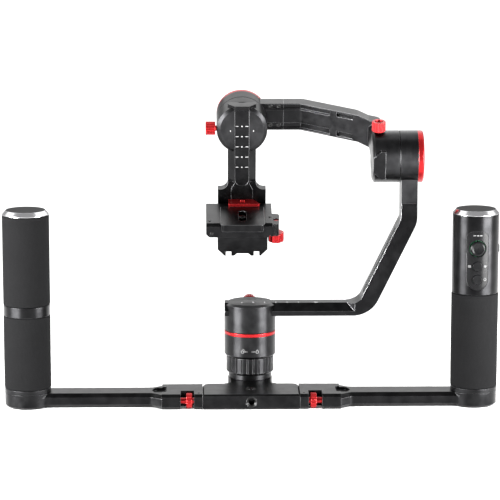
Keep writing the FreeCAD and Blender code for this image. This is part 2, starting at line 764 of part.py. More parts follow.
def make_knob(label, place, turn, about):
    """A fluted knob along its own Z, which starts at a motor's side, with its clamp screw behind it."""
    x, y, z = place
    body = new_part(label, Frame(x, y, z, turn, about))
    near_face = D.motor_radius + D.knob_gap
    tip = D.bar_width / 2 + 0.5
    far = near_face + D.knob_length
    radius, edge = D.knob_radius, 0.5
    spin(body, "Z", [[
        (0, tip),
        (D.knob_screw_radius, tip),
        (D.knob_screw_radius, near_face),
        (radius - edge, near_face),
        (radius, near_face + edge),
        (radius, far - edge),
        (radius - edge, far),
        (D.knob_recess_radius, far),
        (D.knob_recess_radius - 0.4, far - D.knob_recess_depth),
        (0, far - D.knob_recess_depth),
    ]])
    floor = far - D.knob_recess_depth
    hexagon = [(D.hex_radius * x, D.hex_radius * y) for x, y in polygon(6, 1.0)]
    prism(body, "XY", [hexagon], floor - 2, floor, cut=True)
    groove = Circle(radius + D.knob_flute_radius * 0.35, 0, D.knob_flute_radius)
    repeat(body, prism(body, "XY", [groove], near_face - 1, far + 1, cut=True), D.knob_flutes)


pan_face = D.pan_seam_height + D.seam_gap + D.pan_rotor_length
pan_motor = Motor("pan", "Z", PAN, PAN, pan_face, -1, D.pan_rotor_length,
                  pan_face - D.pan_housing_bottom)
roll_motor = Motor("roll", "X", ROLL, DROOP, D.roll_face_x, 1, D.roll_rotor_length,
                   D.roll_rotor_length + D.seam_gap + D.roll_stator_length)
tilt_motor = Motor("tilt", "Y", TILT, TILT, D.tilt_face, 1, D.tilt_rotor_length,
                   D.tilt_rotor_length + D.seam_gap + D.tilt_stator_length)


def make_pan_base():
    """The pan motor's base is its stator: its red ring is a piece of its own, and a spigot goes down."""
    body = make_stator(pan_motor)
    body.Label = "pan_base_housing"
    accent_low = D.pan_seam_height - D.pan_accent_height
    spin(body, "Z", [[
        (D.hub_radius, accent_low), (D.motor_radius + 1, accent_low),
        (D.motor_radius + 1, D.pan_seam_height), (D.hub_radius, D.pan_seam_height)]], cut=True)
    bottom = D.pan_housing_bottom
    spin(body, "Z", [[
        (D.motor_radius - D.pan_chamfer, bottom),
        (D.motor_radius + 1, bottom),
        (D.motor_radius + 1, bottom + D.pan_chamfer + 1),
        (D.motor_radius, bottom + D.pan_chamfer),
    ]], cut=True)
    spin(body, "Z", [[
        (0, D.socket_floor + D.face_gap), (D.spigot_radius, D.socket_floor + D.face_gap),
        (D.spigot_radius, bottom + 1), (0, bottom + 1)]])
    ring = new_part("pan_accent_ring", PAN)
    chamfer = D.seam_chamfer
    spin(ring, "Z", [[
        (pan_motor.cavity_radius, accent_low),
        (D.motor_radius - chamfer, accent_low),
        (D.motor_radius, accent_low + chamfer),
        (D.motor_radius, D.pan_seam_height - chamfer),
        (D.motor_radius - chamfer, D.pan_seam_height),
        (pan_motor.cavity_radius, D.pan_seam_height),
    ]])


def make_locking_ring():
    body = new_part("locking_ring", PAN)
    low = D.plate_height + D.face_gap
    high = D.pan_housing_bottom - D.face_gap
    neck = low + D.ring_foot_height
    bore = D.spigot_radius + D.curve_gap
    spin(body, "Z", [[
        (bore, low), (D.ring_foot_radius, low), (D.ring_foot_radius, neck),
        (D.ring_radius, neck + D.ring_chamfer), (D.ring_radius, high - 0.5),
        (D.ring_radius - 0.5, high), (bore, high)]])
    flute = Circle(D.ring_radius + D.ring_flute_radius * 0.1, 0, D.ring_flute_radius)
    repeat(body, prism(body, "XY", [flute], neck + D.ring_chamfer, high + 1, cut=True), D.ring_flutes)


# ---------------------------------------------------------------- pan arm

def pan_arm_lines():
    """Corners of the pan arm's side view: the inner line and the outer line, parallel to it."""
    top = pan_face
    bottom = top - D.bar_depth
    lean_x, lean_z = sine(D.pan_lean), cosine(D.pan_lean)
    slope = lean_x / lean_z
    rise = (D.pan_shoulder_x - D.pan_elbow_x) / slope
    inner_knee = (D.pan_elbow_x, top)
    inner_shoulder = (D.pan_shoulder_x, top + rise)
    across = D.arm_thickness / lean_z
    outer_x = D.pan_shoulder_x + D.arm_thickness
    outer_knee = (D.pan_elbow_x + across - D.bar_depth * slope, bottom)
    outer_shoulder = (outer_x, top + (outer_x - D.pan_elbow_x - across) / slope)
    return inner_knee, inner_shoulder, outer_knee, outer_shoulder


def make_pan_arm():
    body = new_part("pan_arm", PAN)
    top = pan_face
    bottom = top - D.bar_depth
    inner_knee, inner_shoulder, outer_knee, outer_shoulder = pan_arm_lines()
    half = D.bar_width / 2
    outline = [
        (D.pan_bar_end, bottom),
        (*outer_knee, D.pan_elbow_radius + D.arm_thickness),
        (*outer_shoulder, D.pan_shoulder_radius + D.arm_thickness),
        (D.pan_shoulder_x + D.arm_thickness, D.pan_arm_top),
        (D.pan_shoulder_x, D.pan_arm_top),
        (*inner_shoulder, D.pan_shoulder_radius),
        (*inner_knee, D.pan_elbow_radius),
        (D.pan_bar_end, top),
    ]
    prism(body, "XZ", [outline], -half, half)
    for side in (1, -1):
        narrow = D.bar_face / 2 * side
        corner = [
            (D.pan_bar_end - 1, narrow),
            (D.pan_bar_end, narrow),
            (D.pan_bar_end + D.pan_runout, half * side),
            (D.pan_bar_end + D.pan_runout, (half + 1) * side),
            (D.pan_bar_end - 1, (half + 1) * side),
        ]
        prism(body, "XY", [corner], bottom - 1, top + 1, cut=True)
    section = [(across, place) for place, across in bar_outline(top, -1, as_size(0))]
    prism(body, "YZ", [section], D.pan_bar_start, D.pan_bar_end + D.pan_runout + 1)


# ---------------------------------------------------------------- roll motor and roll arm

def roll_stem(body):
    half = D.bar_width / 2
    left = D.pan_shoulder_x
    top = -(motor_inner_reach() - 1)
    prism(body, "XY", [rectangle(left, -half, left + D.arm_thickness, half)],
          D.pan_arm_top - D.roll_height, top)


def motor_inner_reach():
    """Height on the drum's side, at half the arm's width, inside its wall."""
    half = D.bar_width / 2
    return root(D.motor_radius * D.motor_radius - half * half)


def slant_normal():
    return sine(D.roll_slant), cosine(D.roll_slant)


def roll_front(depth):
    """Front line of the roll arm, moved back by depth: its bend and its slope's end at the bar's face."""
    across, along = slant_normal()
    slope = across / along
    bend = (D.roll_bend_x + depth * across / (along + 1), D.roll_reach_front + depth)
    face = D.roll_face_x
    return bend, (face, bend[1] - (face - bend[0]) * slope)


def make_roll_arm():
    body = new_part("roll_arm", DROOP)
    half = D.bar_width / 2
    face = D.roll_face_x
    back = face + D.bar_depth
    across, along = slant_normal()
    slope = across / along
    bend, front_end = roll_front(as_size(0))
    back_line = (D.roll_bend_x + D.roll_slant_thickness * across,
                 D.roll_reach_front + D.roll_slant_thickness * along)
    back_corner = (back, back_line[1] - (back - back_line[0]) * slope)
    cross_back = D.roll_reach_front + D.roll_cross_thickness
    back_bend = (back_line[0] - (cross_back - back_line[1]) / slope, cross_back)
    outline = [
        (D.roll_joint_x, D.roll_reach_front),
        (*bend, 8.0),
        front_end,
        (back, front_end[1] - D.pan_runout),
        (*back_corner, 7.0),
        (*back_bend, 10.0),
        (D.roll_joint_x, cross_back),
    ]
    prism(body, "XY", [outline], -half, D.roll_arm_top)
    drop, low = face - 9, D.roll_joint_x - 1
    top_step = [(drop, D.roll_arm_top), (face + 1, half), (back + 2, half),
                (back + 2, D.roll_arm_top + 1), (drop, D.roll_arm_top + 1)]
    bottom_step = [(drop, D.roll_arm_bottom), (low, D.roll_arm_bottom), (low, -half - 1),
                   (face + 1, -half - 1), (face + 1, -half)]
    reach = cross_back + 5
    prism(body, "XZ", [top_step, bottom_step], 0, reach, cut=True)
    cut_front_grooves(body, D.roll_joint_x - 1, D.roll_groove_end_x)
    prism(body, "XZ", [bar_outline(face, 1, as_size(0))], D.roll_bar_start, front_end[1])


def groove_bands():
    top = (D.roll_web_top, D.roll_arm_top - D.roll_flange)
    bottom = (D.roll_arm_bottom + D.roll_flange, D.roll_web_bottom)
    return top, bottom


def cut_front_grooves(body, start_x, end_x):
    """Two grooves along the front face, with the raised band left between them, and two tapered ends."""
    bend, _ = roll_front(as_size(0))
    inner_bend, _ = roll_front(D.roll_groove_depth)
    across, along = slant_normal()
    slope = across / along
    span = end_x - bend[0]
    end = (end_x, bend[1] - span * slope)
    inner_end = (end_x + D.roll_groove_depth * across, end[1] + D.roll_groove_depth * along)
    tail = 24
    tail_end = (end[0] + tail * along, end[1] - tail * across)
    strip = [
        (start_x, D.roll_reach_front - 2),
        (bend[0] - 2 * across, bend[1] - 2),
        (end[0] - 2 * across, end[1] - 2 * along),
        end,
        inner_end,
        inner_bend,
        (start_x, D.roll_reach_front + D.roll_groove_depth),
    ]
    gap = 7
    taper = [
        (end[0] + gap * along - 2 * across, end[1] - gap * across - 2 * along),
        (tail_end[0], tail_end[1]),
        (inner_end[0] + gap * along, inner_end[1] - gap * across),
    ]
    for low, high in groove_bands():
        prism(body, "XY", [strip], low, high, cut=True)
        prism(body, "XY", [taper], low + 0.6, high - 0.6, cut=True)


def bracket_screw_places():
    left = D.tilt_x + D.motor_radius + D.bracket_screw_inset - 0.4
    right = D.roll_joint_x - D.bracket_screw_inset - 0.9
    places = []
    for low, high in groove_bands():
        for x in (left, right):
            places.append((x, (low + high) / 2))
    return places


def make_roll_bracket():
    """The bracket that carries the tilt motor, let into the end of the roll arm."""
    body = new_part("roll_arm_bracket", DROOP)
    front = D.roll_reach_front
    back = front + D.roll_cross_thickness
    start = D.tilt_x + D.bar_width / 2
    prism(body, "XY", [rectangle(start, front, D.roll_joint_x, back)], D.roll_arm_bottom, D.roll_arm_top)
    for low, high in groove_bands():
        prism(body, "XY", [rectangle(start, front - 1, D.roll_joint_x + 1, front + D.roll_groove_depth)],
              low, high, cut=True)
    prism(body, "XZ", [Circle(D.tilt_x, 0, D.motor_radius + D.seat_clearance)], front - 2, back + 2, cut=True)
    holes = [Circle(x, z, D.small_screw_radius + D.seat_clearance) for x, z in bracket_screw_places()]
    prism(body, "XZ", holes, front, front + 10, cut=True)
    screws = new_part("roll_arm_screws", DROOP)
    floor = front + D.roll_groove_depth
    prism(screws, "XZ", [Circle(x, z, D.small_screw_radius) for x, z in bracket_screw_places()],
          floor, front + 9)
    prism(screws, "XZ", [Circle(x, z, D.small_head_radius) for x, z in bracket_screw_places()],
          floor - 1.4, floor)
    prism(screws, "XZ", [Circle(x, z, D.small_screw_radius * 0.7) for x, z in bracket_screw_places()],
          floor - 2, floor - 0.6, cut=True)


# ---------------------------------------------------------------- tilt arm and camera platform

cradle_top = D.clamp_top - D.clamp_height
cradle_bottom = cradle_top - D.cradle_height


def make_tilt_arm():
    body = new_part("tilt_arm", TILT)
    wide, foot = D.bar_width / 2, D.foot_width / 2
    back = D.tilt_face + D.bar_depth
    flare_top = D.foot_top + D.foot_fillet
    outline = [
        (-foot, cradle_bottom),
        (foot, cradle_bottom),
        (foot, D.foot_top),
        (wide, D.foot_top, D.foot_fillet),
        (wide, flare_top + 1),
        (-wide, flare_top + 1),
        (-wide, D.foot_top, D.foot_fillet),
        (-foot, D.foot_top),
    ]
    prism(body, "XZ", [outline], D.foot_front, back)
    narrow = D.bar_face / 2
    apron = [
        (-narrow - 3.5, D.clamp_top - 4),
        (narrow + 3.5, D.clamp_top - 4),
        (narrow + 3.5, D.foot_top, 4.0),
        (narrow, flare_top, 6.0),
        (narrow, flare_top + 4),
        (-narrow, flare_top + 4),
        (-narrow, flare_top, 6.0),
        (-narrow - 3.5, D.foot_top, 4.0),
    ]
    prism(body, "XZ", [apron], D.tilt_face, D.foot_front + 1)
    section = [(across, place) for place, across in bar_outline(D.tilt_face, 1, as_size(0))]
    prism(body, "XY", [section], flare_top, D.tilt_bar_top)
    side = D.track_width / 2
    track = [(-side, D.track_bottom, side * 0.9), (side, D.track_bottom, side * 0.9),
             (side, D.track_top, side * 0.4), (-side, D.track_top, side * 0.4)]
    prism(body, "XZ", [track], D.tilt_face, D.tilt_face + D.track_depth, cut=True)


def make_cradle_block():
    body = new_part("cradle_block", TILT)
    half, chamfer = D.cradle_width / 2, D.cradle_chamfer
    low = cradle_bottom
    slot, place = D.cradle_slot_width / 2, D.cradle_slot_place
    recess, depth = D.cradle_recess_width / 2, D.cradle_recess_depth
    right = [
        (recess, low + depth),
        (recess + depth, low),
        (place - slot, low),
        (place - slot, low + D.cradle_slot_depth),
        (place + slot, low + D.cradle_slot_depth),
        (place + slot, low),
        (half - chamfer, low),
        (half, low + chamfer),
        (half, cradle_top),
    ]
    left = [(-x, z) for x, z in reversed(right)]
    prism(body, "XZ", [right + left], D.cradle_front, D.foot_front)


def make_clamp_base():
    body = new_part("clamp_base", TILT)
    front, back = D.clamp_front, D.clamp_back
    left, right, low, top = D.clamp_left, D.clamp_right, cradle_top, D.clamp_top
    bevel = 3.0
    outline = [(left + bevel, low), (right - 4, low), (right, low + 4), (right, top),
               (left, top), (left, low + bevel)]
    prism(body, "XZ", [outline], front, back)
    ear = [
        (right - 2, front),
        (right + D.ear_width - 1, front, 0.8),
        (right + D.ear_width, D.ear_back - 2, 3.0),
        (right - 2, D.ear_back),
    ]
    ear_top = top - 0.6
    prism(body, "XY", [ear], ear_top - D.ear_height, ear_top)
    for i in range(2):
        groove_x = right + 1.6 + 2.4 * i
        prism(body, "XY", [rectangle(groove_x, front - 1, groove_x + D.ear_rib, front + 1.3)],
              ear_top - D.ear_height - 1, ear_top + 1, cut=True)
    wedge = [(front - 1, top + 1), (front - 1, top - D.clamp_bevel), (front, top - D.clamp_bevel),
             (front + D.clamp_bevel, top), (front + D.clamp_bevel, top + 1)]
    prism(body, "YZ", [wedge], left - 1, right, cut=True)
    clearance = D.slide_clearance
    wide = D.plate_slot_width / 2 + clearance
    slim = wide - D.plate_taper
    floor = top - D.plate_thickness - clearance
    slot = [(-slim, floor), (slim, floor), (wide, top), (wide, top + 1), (-wide, top + 1), (-wide, top)]
    channel_end = front - D.plate_overhang + D.plate_length + D.face_gap
    prism(body, "XZ", [slot], front - 1, channel_end, cut=True)
    knob = Circle(plate_knob_x, plate_knob_y, D.knob_screw_radius + D.curve_gap)
    prism(body, "XY", [knob], low - 1, top + 1, cut=True)
    pin_x = left + 5.2
    prism(body, "XZ", [Circle(pin_x, low + 3.6, 1.7 + D.seat_clearance)], front, front + 6, cut=True)
    places = [(left + 3.4, front + 7.5), (right - 2.4, front + 16.0)]
    prism(body, "XY", [Circle(x, y, 1.6 + D.seat_clearance) for x, y in places], top - 5, top, cut=True)
    screws = new_part("clamp_screws", TILT)
    prism(screws, "XY", [Circle(x, y, 1.6) for x, y in places], top - 5, top - 0.3)
    prism(screws, "XY", [Circle(x, y, 0.8) for x, y in places], top - 1.5, top, cut=True)
    prism(screws, "XZ", [Circle(pin_x, low + 3.6, 1.7)], front - 0.5, front + 5.5)
    prism(screws, "XZ", [Circle(pin_x, low + 3.6, 0.8)], front - 1, front + 0.6, cut=True)


plate_knob_x = D.cradle_width / 2 + 0.5 + D.plate_knob_radius
plate_knob_y = D.clamp_front + 12.0


def make_camera_plate():
    body = new_part("camera_plate", TILT)
    front = D.clamp_front - D.plate_overhang
    back = front + D.plate_length
    wide = D.plate_slot_width / 2
    slim = wide - D.plate_taper
    low = D.clamp_top - D.plate_thickness
    outline = [(-slim, low), (slim, low), (wide, D.clamp_top), (-wide, D.clamp_top)]
    prism(body, "XZ", [outline], front, back)
    corner = 2.4
    edge = [(wide + 1, front - 1), (wide + 1, front + corner), (wide, front + corner),
            (wide - 1.2, front + 0.7), (wide - corner - 0.6, front), (wide - corner - 0.6, front - 1)]
    mirror_edge = [(-x, y) for x, y in edge]
    prism(body, "XY", [edge, mirror_edge], low - 1, D.clamp_top + 1, cut=True)
    middle = (front + back) / 2
    radius = D.thread_radius + D.curve_gap
    reach = D.camera_slot_length / 2
    head = radius + 2.6
    slot = stadium(as_size(0), middle - reach, middle + reach, radius)
    prism(body, "XY", [slot], low - 1, D.clamp_top + 1, cut=True)
    pocket = rectangle(-head, middle - reach - 2, head, middle + reach + 2, 2.0)
    prism(body, "XY", [pocket], low, low + D.screw_pocket, cut=True)
    screw = new_part("camera_screw", Frame(*in_droop(D.tilt_x, middle, as_size(0)), D.droop))
    head_low = low + D.face_gap
    spin(screw, "Z", [[
        (0, head_low), (head - 0.4, head_low), (head - 0.4, head_low + D.screw_head),
        (D.thread_radius, head_low + D.screw_head), (D.thread_radius, D.clamp_top - 0.9),
        (D.thread_radius - 0.7, D.clamp_top - D.face_gap), (0, D.clamp_top - D.face_gap)]])


def make_plate_knob():
    """A lobed knob under the clamp's ear, with its clamp screw going up into the ear."""
    place = in_droop(D.tilt_x + plate_knob_x, plate_knob_y, as_size(0))
    body = new_part("plate_knob", Frame(*place, D.droop))
    high = cradle_top + 0.2
    low = high - D.plate_knob_length
    radius = D.plate_knob_radius
    spin(body, "Z", [[
        (0, low), (radius - 0.6, low), (radius, low + 0.6), (radius, high - 0.6), (radius - 0.6, high),
        (D.knob_screw_radius, high), (D.knob_screw_radius, D.clamp_top - 1.5), (0, D.clamp_top - 1.5)]])
    lobe = Circle(radius + 0.7, 0, 1.9)
    repeat(body, prism(body, "XY", [lobe], low - 1, high + 0.05, cut=True), as_size(8))


def make_safety_latch():
    """A slanted catch that lies on the platform's back edge, against the tilt arm's foot."""
    body = new_part("safety_latch", TILT)
    half = D.latch_width / 2
    front = D.tilt_face - 0.3 - D.latch_depth
    low = D.clamp_top + D.face_gap
    middle = D.latch_offset
    outline = [
        (middle - half + 0.5, front, 1.0),
        (middle + half, front, 1.2),
        (middle + half - 7, front + D.latch_depth - 0.2),
        (middle - half + 0.5, front + D.latch_depth - 0.2, 1.0),
    ]
    prism(body, "XY", [outline], low, low + D.latch_thickness)
    prism(body, "XY", [rectangle(middle - 3.6, front + 6.4, middle + 0.6, front + 8.6, 0.5)],
          low + D.latch_thickness - 0.2, low + D.latch_thickness + 0.9)


# ---------------------------------------------------------------- side arms

def make_side_arm(name, side):
    body = new_part(f"{name}_arm")
    start = half_width + 0.1
    block_end = start + D.block_length
    arm_half = D.side_arm_width / 2
    neck_end = block_end + D.neck_length
    grip = D.grip_x
    fillet = 8.0
    rise = D.grip_radius + fillet
    lower = arm_half + fillet
    along = root(rise * rise - lower * lower)
    touch_x = grip - along * D.grip_radius / rise
    touch_y = lower * D.grip_radius / rise
    inset = block_end - 8

    def mirror(points):
        done = []
        for point in points:
            if isinstance(point, ArcTo):
                done.append(ArcTo(point.x * side, point.y, point.radius, point.clockwise ^ (side < 0)))
            else:
                done.append((as_size(point[0]) * side, *point[1:]))
        return done

    outline = [
        (inset, -half_depth),
        (block_end, -half_depth, D.neck_radius),
        (neck_end, -arm_half, D.neck_radius),
        (grip - along, -arm_half),
        ArcTo(touch_x, -touch_y, fillet, clockwise=True),
        (grip, -touch_y),
        (grip, touch_y),
        (touch_x, touch_y),
        ArcTo(grip - along, arm_half, fillet, clockwise=True),
        (neck_end, arm_half, D.neck_radius),
        (block_end, half_depth, D.neck_radius),
        (inset, half_depth),
    ]
    prism(body, "XY", [mirror(outline)], 0, D.side_arm_height)

    def along_the_sides(ends):
        level = len(ends) == 2 and near(ends[0].z, ends[1].z)
        outer_end = level and near(abs(ends[0].x), grip) and near(abs(ends[1].x), grip)
        inner_end = level and near(abs(ends[0].x), inset) and near(abs(ends[1].x), inset)
        hub_side = level and all(abs(p.x) > (touch_x - 0.01).value for p in ends)
        return level and not (outer_end or inner_end or hub_side)

    cut_edges(body, "Chamfer", D.side_arm_bevel, along_the_sides)
    bevel = D.block_bevel
    section = [
        (-half_depth + bevel, 0), (half_depth - bevel, 0), (half_depth, bevel),
        (half_depth, D.plate_height - bevel), (half_depth - bevel, D.plate_height),
        (bevel - half_depth, D.plate_height), (-half_depth, D.plate_height - bevel), (-half_depth, bevel),
    ]
    prism(body, "YZ", [section], *mirrored(side, start, block_end))
    prism(body, "XY", [Circle(grip * side, 0, D.grip_radius)], D.hub_chamfer, D.side_arm_height)
    hub_foot = prism(body, "XY", [Circle(grip * side, 0, D.grip_radius - D.hub_chamfer)], 0, D.hub_chamfer)
    hub_foot.TaperAngle = 45
    window_start = half_width + D.flange_width
    window_end = window_start + D.window_width
    window = mirror(rectangle(window_start, -half_depth - 1, window_end, D.window_back))
    prism(body, "XY", [window], -1, D.plate_height + 1, cut=True)
    screw = Circle(D.wheel_y, mid_height, D.wheel_screw_radius + D.curve_gap)
    prism(body, "YZ", [screw], *mirrored(side, start - 1, window_end + 4), cut=True)
    scoop = mirror([
        (block_end - 4, -9.5, 2.0), (block_end + 6, -9.5, 3.0), (block_end + 9, 0, 6.0),
        (block_end + 6, 9.5, 3.0), (block_end - 4, 9.5, 2.0)])
    prism(body, "XY", [scoop], D.side_arm_height - D.scoop_depth, D.plate_height + 1, cut=True)
    pin = Circle((half_width + 3.4) * side, D.wheel_y, 1.1)
    prism(body, "XY", [pin], D.plate_height - 0.8, D.plate_height + 1, cut=True)


def make_thumbwheel(name, side):
    """A lobed wheel in the arm's window on a screw that runs through the flange into the plate."""
    body = new_part(f"{name}_thumbwheel", Frame(y=D.wheel_y, z=mid_height))
    start = half_width + D.flange_width + 1.6
    end = start + D.wheel_length
    tip = half_width - D.flange_width
    far = half_width + D.flange_width + D.window_width + 3
    radius = D.wheel_radius
    screw = D.wheel_screw_radius
    profile = [
        (0, tip), (screw, tip), (screw, start), (radius - 0.5, start), (radius, start + 0.5),
        (radius, end - 0.5), (radius - 0.5, end), (screw, end), (screw, far), (0, far)]
    spin(body, "X", [[(r, s * side) for r, s in ((as_size(r), as_size(s)) for r, s in profile)]])
    lobe = Circle(radius + 0.55, 0, 1.15)
    repeat(body, prism(body, "YZ", [lobe], *mirrored(side, start - 0.1, end + 0.1), cut=True), as_size(12))


# ---------------------------------------------------------------- grips

core_top = D.grip_height - D.grip_cap_height


def make_grip_core(name, side):
    """An aluminium tube on a wide base ring, with the battery bay inside it."""
    body = new_part(f"{name}_grip_core", Frame(x=D.grip_x * side))
    low = D.side_arm_height
    base = low + D.grip_base_height
    spin(body, "Z", [[
        (0, low), (D.grip_radius - 0.4, low), (D.grip_radius, low + 0.4), (D.grip_radius, base - 0.4),
        (D.grip_radius - 0.4, base), (D.core_radius, base), (D.core_radius, core_top),
        (D.cell_bay_radius, core_top), (D.cell_bay_radius, base), (0, base)]])
    return body


def make_foam(name, side, spans):
    body = new_part(f"{name}_foam", Frame(x=D.grip_x * side))
    inner = D.core_radius + D.seat_clearance
    outer, edge = D.foam_radius, 0.9
    rings = []
    for low, high in spans:
        rings.append([(inner, low), (outer - edge, low), (outer, low + edge),
                      (outer, high - edge), (outer - edge, high), (inner, high)])
    spin(body, "Z", rings)


def make_battery(name, side):
    """Two cells and the sprung contact under them, in one node."""
    body = new_part(f"{name}_battery", Frame(x=D.grip_x * side))
    cells = []
    for i in range(2):
        low = D.cell_bottom + (D.cell_length + 1.2) * i
        high = low + D.cell_length
        cells.append([(0, low), (D.cell_radius - 0.5, low), (D.cell_radius, low + 0.5),
                      (D.cell_radius, high - 0.5), (D.cell_radius - 0.5, high), (4, high),
                      (4, high + 1.0), (0, high + 1.0)])
    spin(body, "Z", cells)
    seat = D.side_arm_height + D.grip_base_height + D.seat_clearance
    spin(body, "Z", [[(0, seat), (8, seat), (6.5, seat + 1.6), (4.5, D.cell_bottom - 0.1),
                      (0, D.cell_bottom - 0.1)]])


def make_grip_cap(name, side):
    """The screw cap on top of a grip: a bright slope round a flat disc, and a plug in the tube."""
    body = new_part(f"{name}_cap", Frame(x=D.grip_x * side))
    low, top = core_top + D.face_gap, D.grip_height
    plug = D.cell_bay_radius - D.curve_gap
    disc = D.grip_radius - D.grip_cap_inset
    spin(body, "Z", [[
        (0, low - 9), (plug - 0.6, low - 9), (plug, low - 8), (plug, low), (D.grip_radius, low),
        (D.grip_radius, low + 0.4), (disc, top), (disc - 0.5, top), (disc - 0.7, top - 0.3),
        (disc - 0.9, top), (0, top)]])


def panel_outline(grow):
    half = D.panel_width / 2 + grow
    low, high = D.panel_bottom - grow, D.panel_top + grow
    return [
        ArcTo(half, low + half, half),
        (half, high, D.panel_corner),
        (-half, high, D.panel_corner),
        (-half, low + half),
        ArcTo(0, low, half),
    ]


def make_right_head():
    """The metal head with its control panel, joystick, two round buttons and a side button."""
    frame = Frame(x=D.grip_x)
    low, high = D.head_bottom, core_top - D.face_gap / 2
    inner = D.core_radius + D.seat_clearance
    head = new_part("right_head", frame)
    spin(head, "Z", [[
        (inner, low), (D.grip_radius - 0.7, low), (D.grip_radius, low + 0.7),
        (D.grip_radius, high - 0.3), (D.grip_radius - 0.3, high), (inner, high)]])
    prism(head, "XZ", [panel_outline(D.seat_clearance)], -D.grip_radius - 1, 0, cut=True)
    side_z = D.side_button_height
    half_long, half_tall = as_size(2.4), as_size(3.4)
    gap = D.button_clearance
    hole = rectangle(-half_long - gap, side_z - half_tall - gap,
                     half_long + gap, side_z + half_tall + gap, 1.8)
    prism(head, "YZ", [hole], 0, D.grip_radius + 1, cut=True)

    panel = new_part("control_panel", frame)
    front = D.grip_radius - D.panel_inset
    back = D.grip_radius - D.panel_depth
    prism(panel, "XZ", [panel_outline(as_size(0))], -D.grip_radius - 1, -back + 2.2)
    spin(panel, "Z", [[
        (front, D.panel_bottom - 2), (front + 6, D.panel_bottom - 2),
        (front + 6, D.panel_top + 2), (front, D.panel_top + 2)]], cut=True)
    openings = [
        Circle(0, D.joystick_height, D.joystick_hole),
        Circle(0, D.mode_height, D.button_radius + D.button_clearance),
        Circle(0, D.power_height, D.button_radius + D.button_clearance),
    ]
    prism(panel, "XZ", openings, -D.grip_radius - 1, 0, cut=True)

    for label, height in (("mode_button", D.mode_height), ("power_button", D.power_height)):
        button = new_part(label, frame)
        face = -front - D.button_proud
        prism(button, "XZ", [Circle(0, height, D.button_radius)], face, face + 3.2)
        cut_edges(button, "Chamfer", 0.35, lambda ends: all(near(p.y, face) for p in ends))
        prism(button, "XZ", [Circle(0, height, 1.6)], face + 3.1, board_front - 1.65)

    side_button = new_part("side_button", frame)
    outline = rectangle(-half_long, side_z - half_tall, half_long, side_z + half_tall, 1.6)
    prism(side_button, "YZ", [outline], D.core_radius + 1.0, D.grip_radius + 0.5)

    core = make_grip_core("right", 1)
    bay = rectangle(-8.9, D.panel_bottom - 1, 8.9, D.panel_top + 1)
    prism(core, "XZ", [bay], -D.core_radius - 1, -D.cell_bay_radius - 0.4, cut=True)
    board = new_part("control_board", frame)
    thick = 1.2
    prism(board, "XZ", [rectangle(-8.6, D.panel_bottom - 0.7, 8.6, D.panel_top + 0.7)],
          board_front, board_front + thick)
    switches = [rectangle(-3, D.mode_height - 3, 3, D.mode_height + 3),
                rectangle(-3, D.power_height - 3, 3, D.power_height + 3)]
    prism(board, "XZ", switches, board_front - 0.7, board_front + 0.3)


board_front = -D.cell_bay_radius - D.face_gap - 1.4


def make_joystick():
    """A thumb joystick: a small gimbal ring under the panel, and a dished cap on a stem."""
    frame = Frame(x=D.grip_x)
    pivot_y = -D.grip_radius + 4.6
    z = D.joystick_height
    thick = 1.0
    ring_outside, ring_inside = 5.2, 3.5
    pin_end = 7.0
    yoke = new_part("joystick_yoke", frame)
    prism(yoke, "XZ", [Circle(0, z, ring_outside), Circle(0, z, ring_inside)],
          pivot_y - thick, pivot_y + thick)
    pin = Circle(0, pivot_y, D.pivot_radius)
    prism(yoke, "XY", [pin], z + ring_outside - 0.6, z + pin_end)
    prism(yoke, "XY", [pin], z - pin_end, z - ring_outside + 0.6)
    cross_hole = Circle(pivot_y, z, D.pivot_radius + D.bearing_clearance)
    prism(yoke, "YZ", [cross_hole], -ring_outside - 1, ring_outside + 1, cut=True)
    cap = new_part("joystick_cap", Frame(x=D.grip_x, z=z))
    face = -D.grip_radius - 1.5
    radius = D.joystick_radius
    spin(cap, "Y", [[
        (0, face + 0.8), (radius - 2.6, face + 0.5), (radius - 1.2, face), (radius, face + 0.9),
        (radius, face + 2.0), (radius - 1.4, face + 2.6), (2.2, face + 2.6), (2.2, pivot_y + 1.0),
        (0, pivot_y + 1.0)]])
    prism(cap, "YZ", [Circle(pivot_y, 0, D.pivot_radius)], 0.3 - ring_outside, ring_outside - 0.3)


# ---------------------------------------------------------------- the whole object

def make_knobs():
    clamp = D.knob_depth
    make_knob("pan_knob", (as_size(0), D.column_y, pan_face - clamp), -90, (1, 0, 0))
    make_knob("roll_knob", in_droop(D.roll_face_x + clamp, as_size(0), as_size(0)), D.droop, (1, 0, 0))
    make_knob("tilt_knob", in_droop(D.tilt_x, D.tilt_face + clamp, as_size(0)), -90, (0, 1, 0))


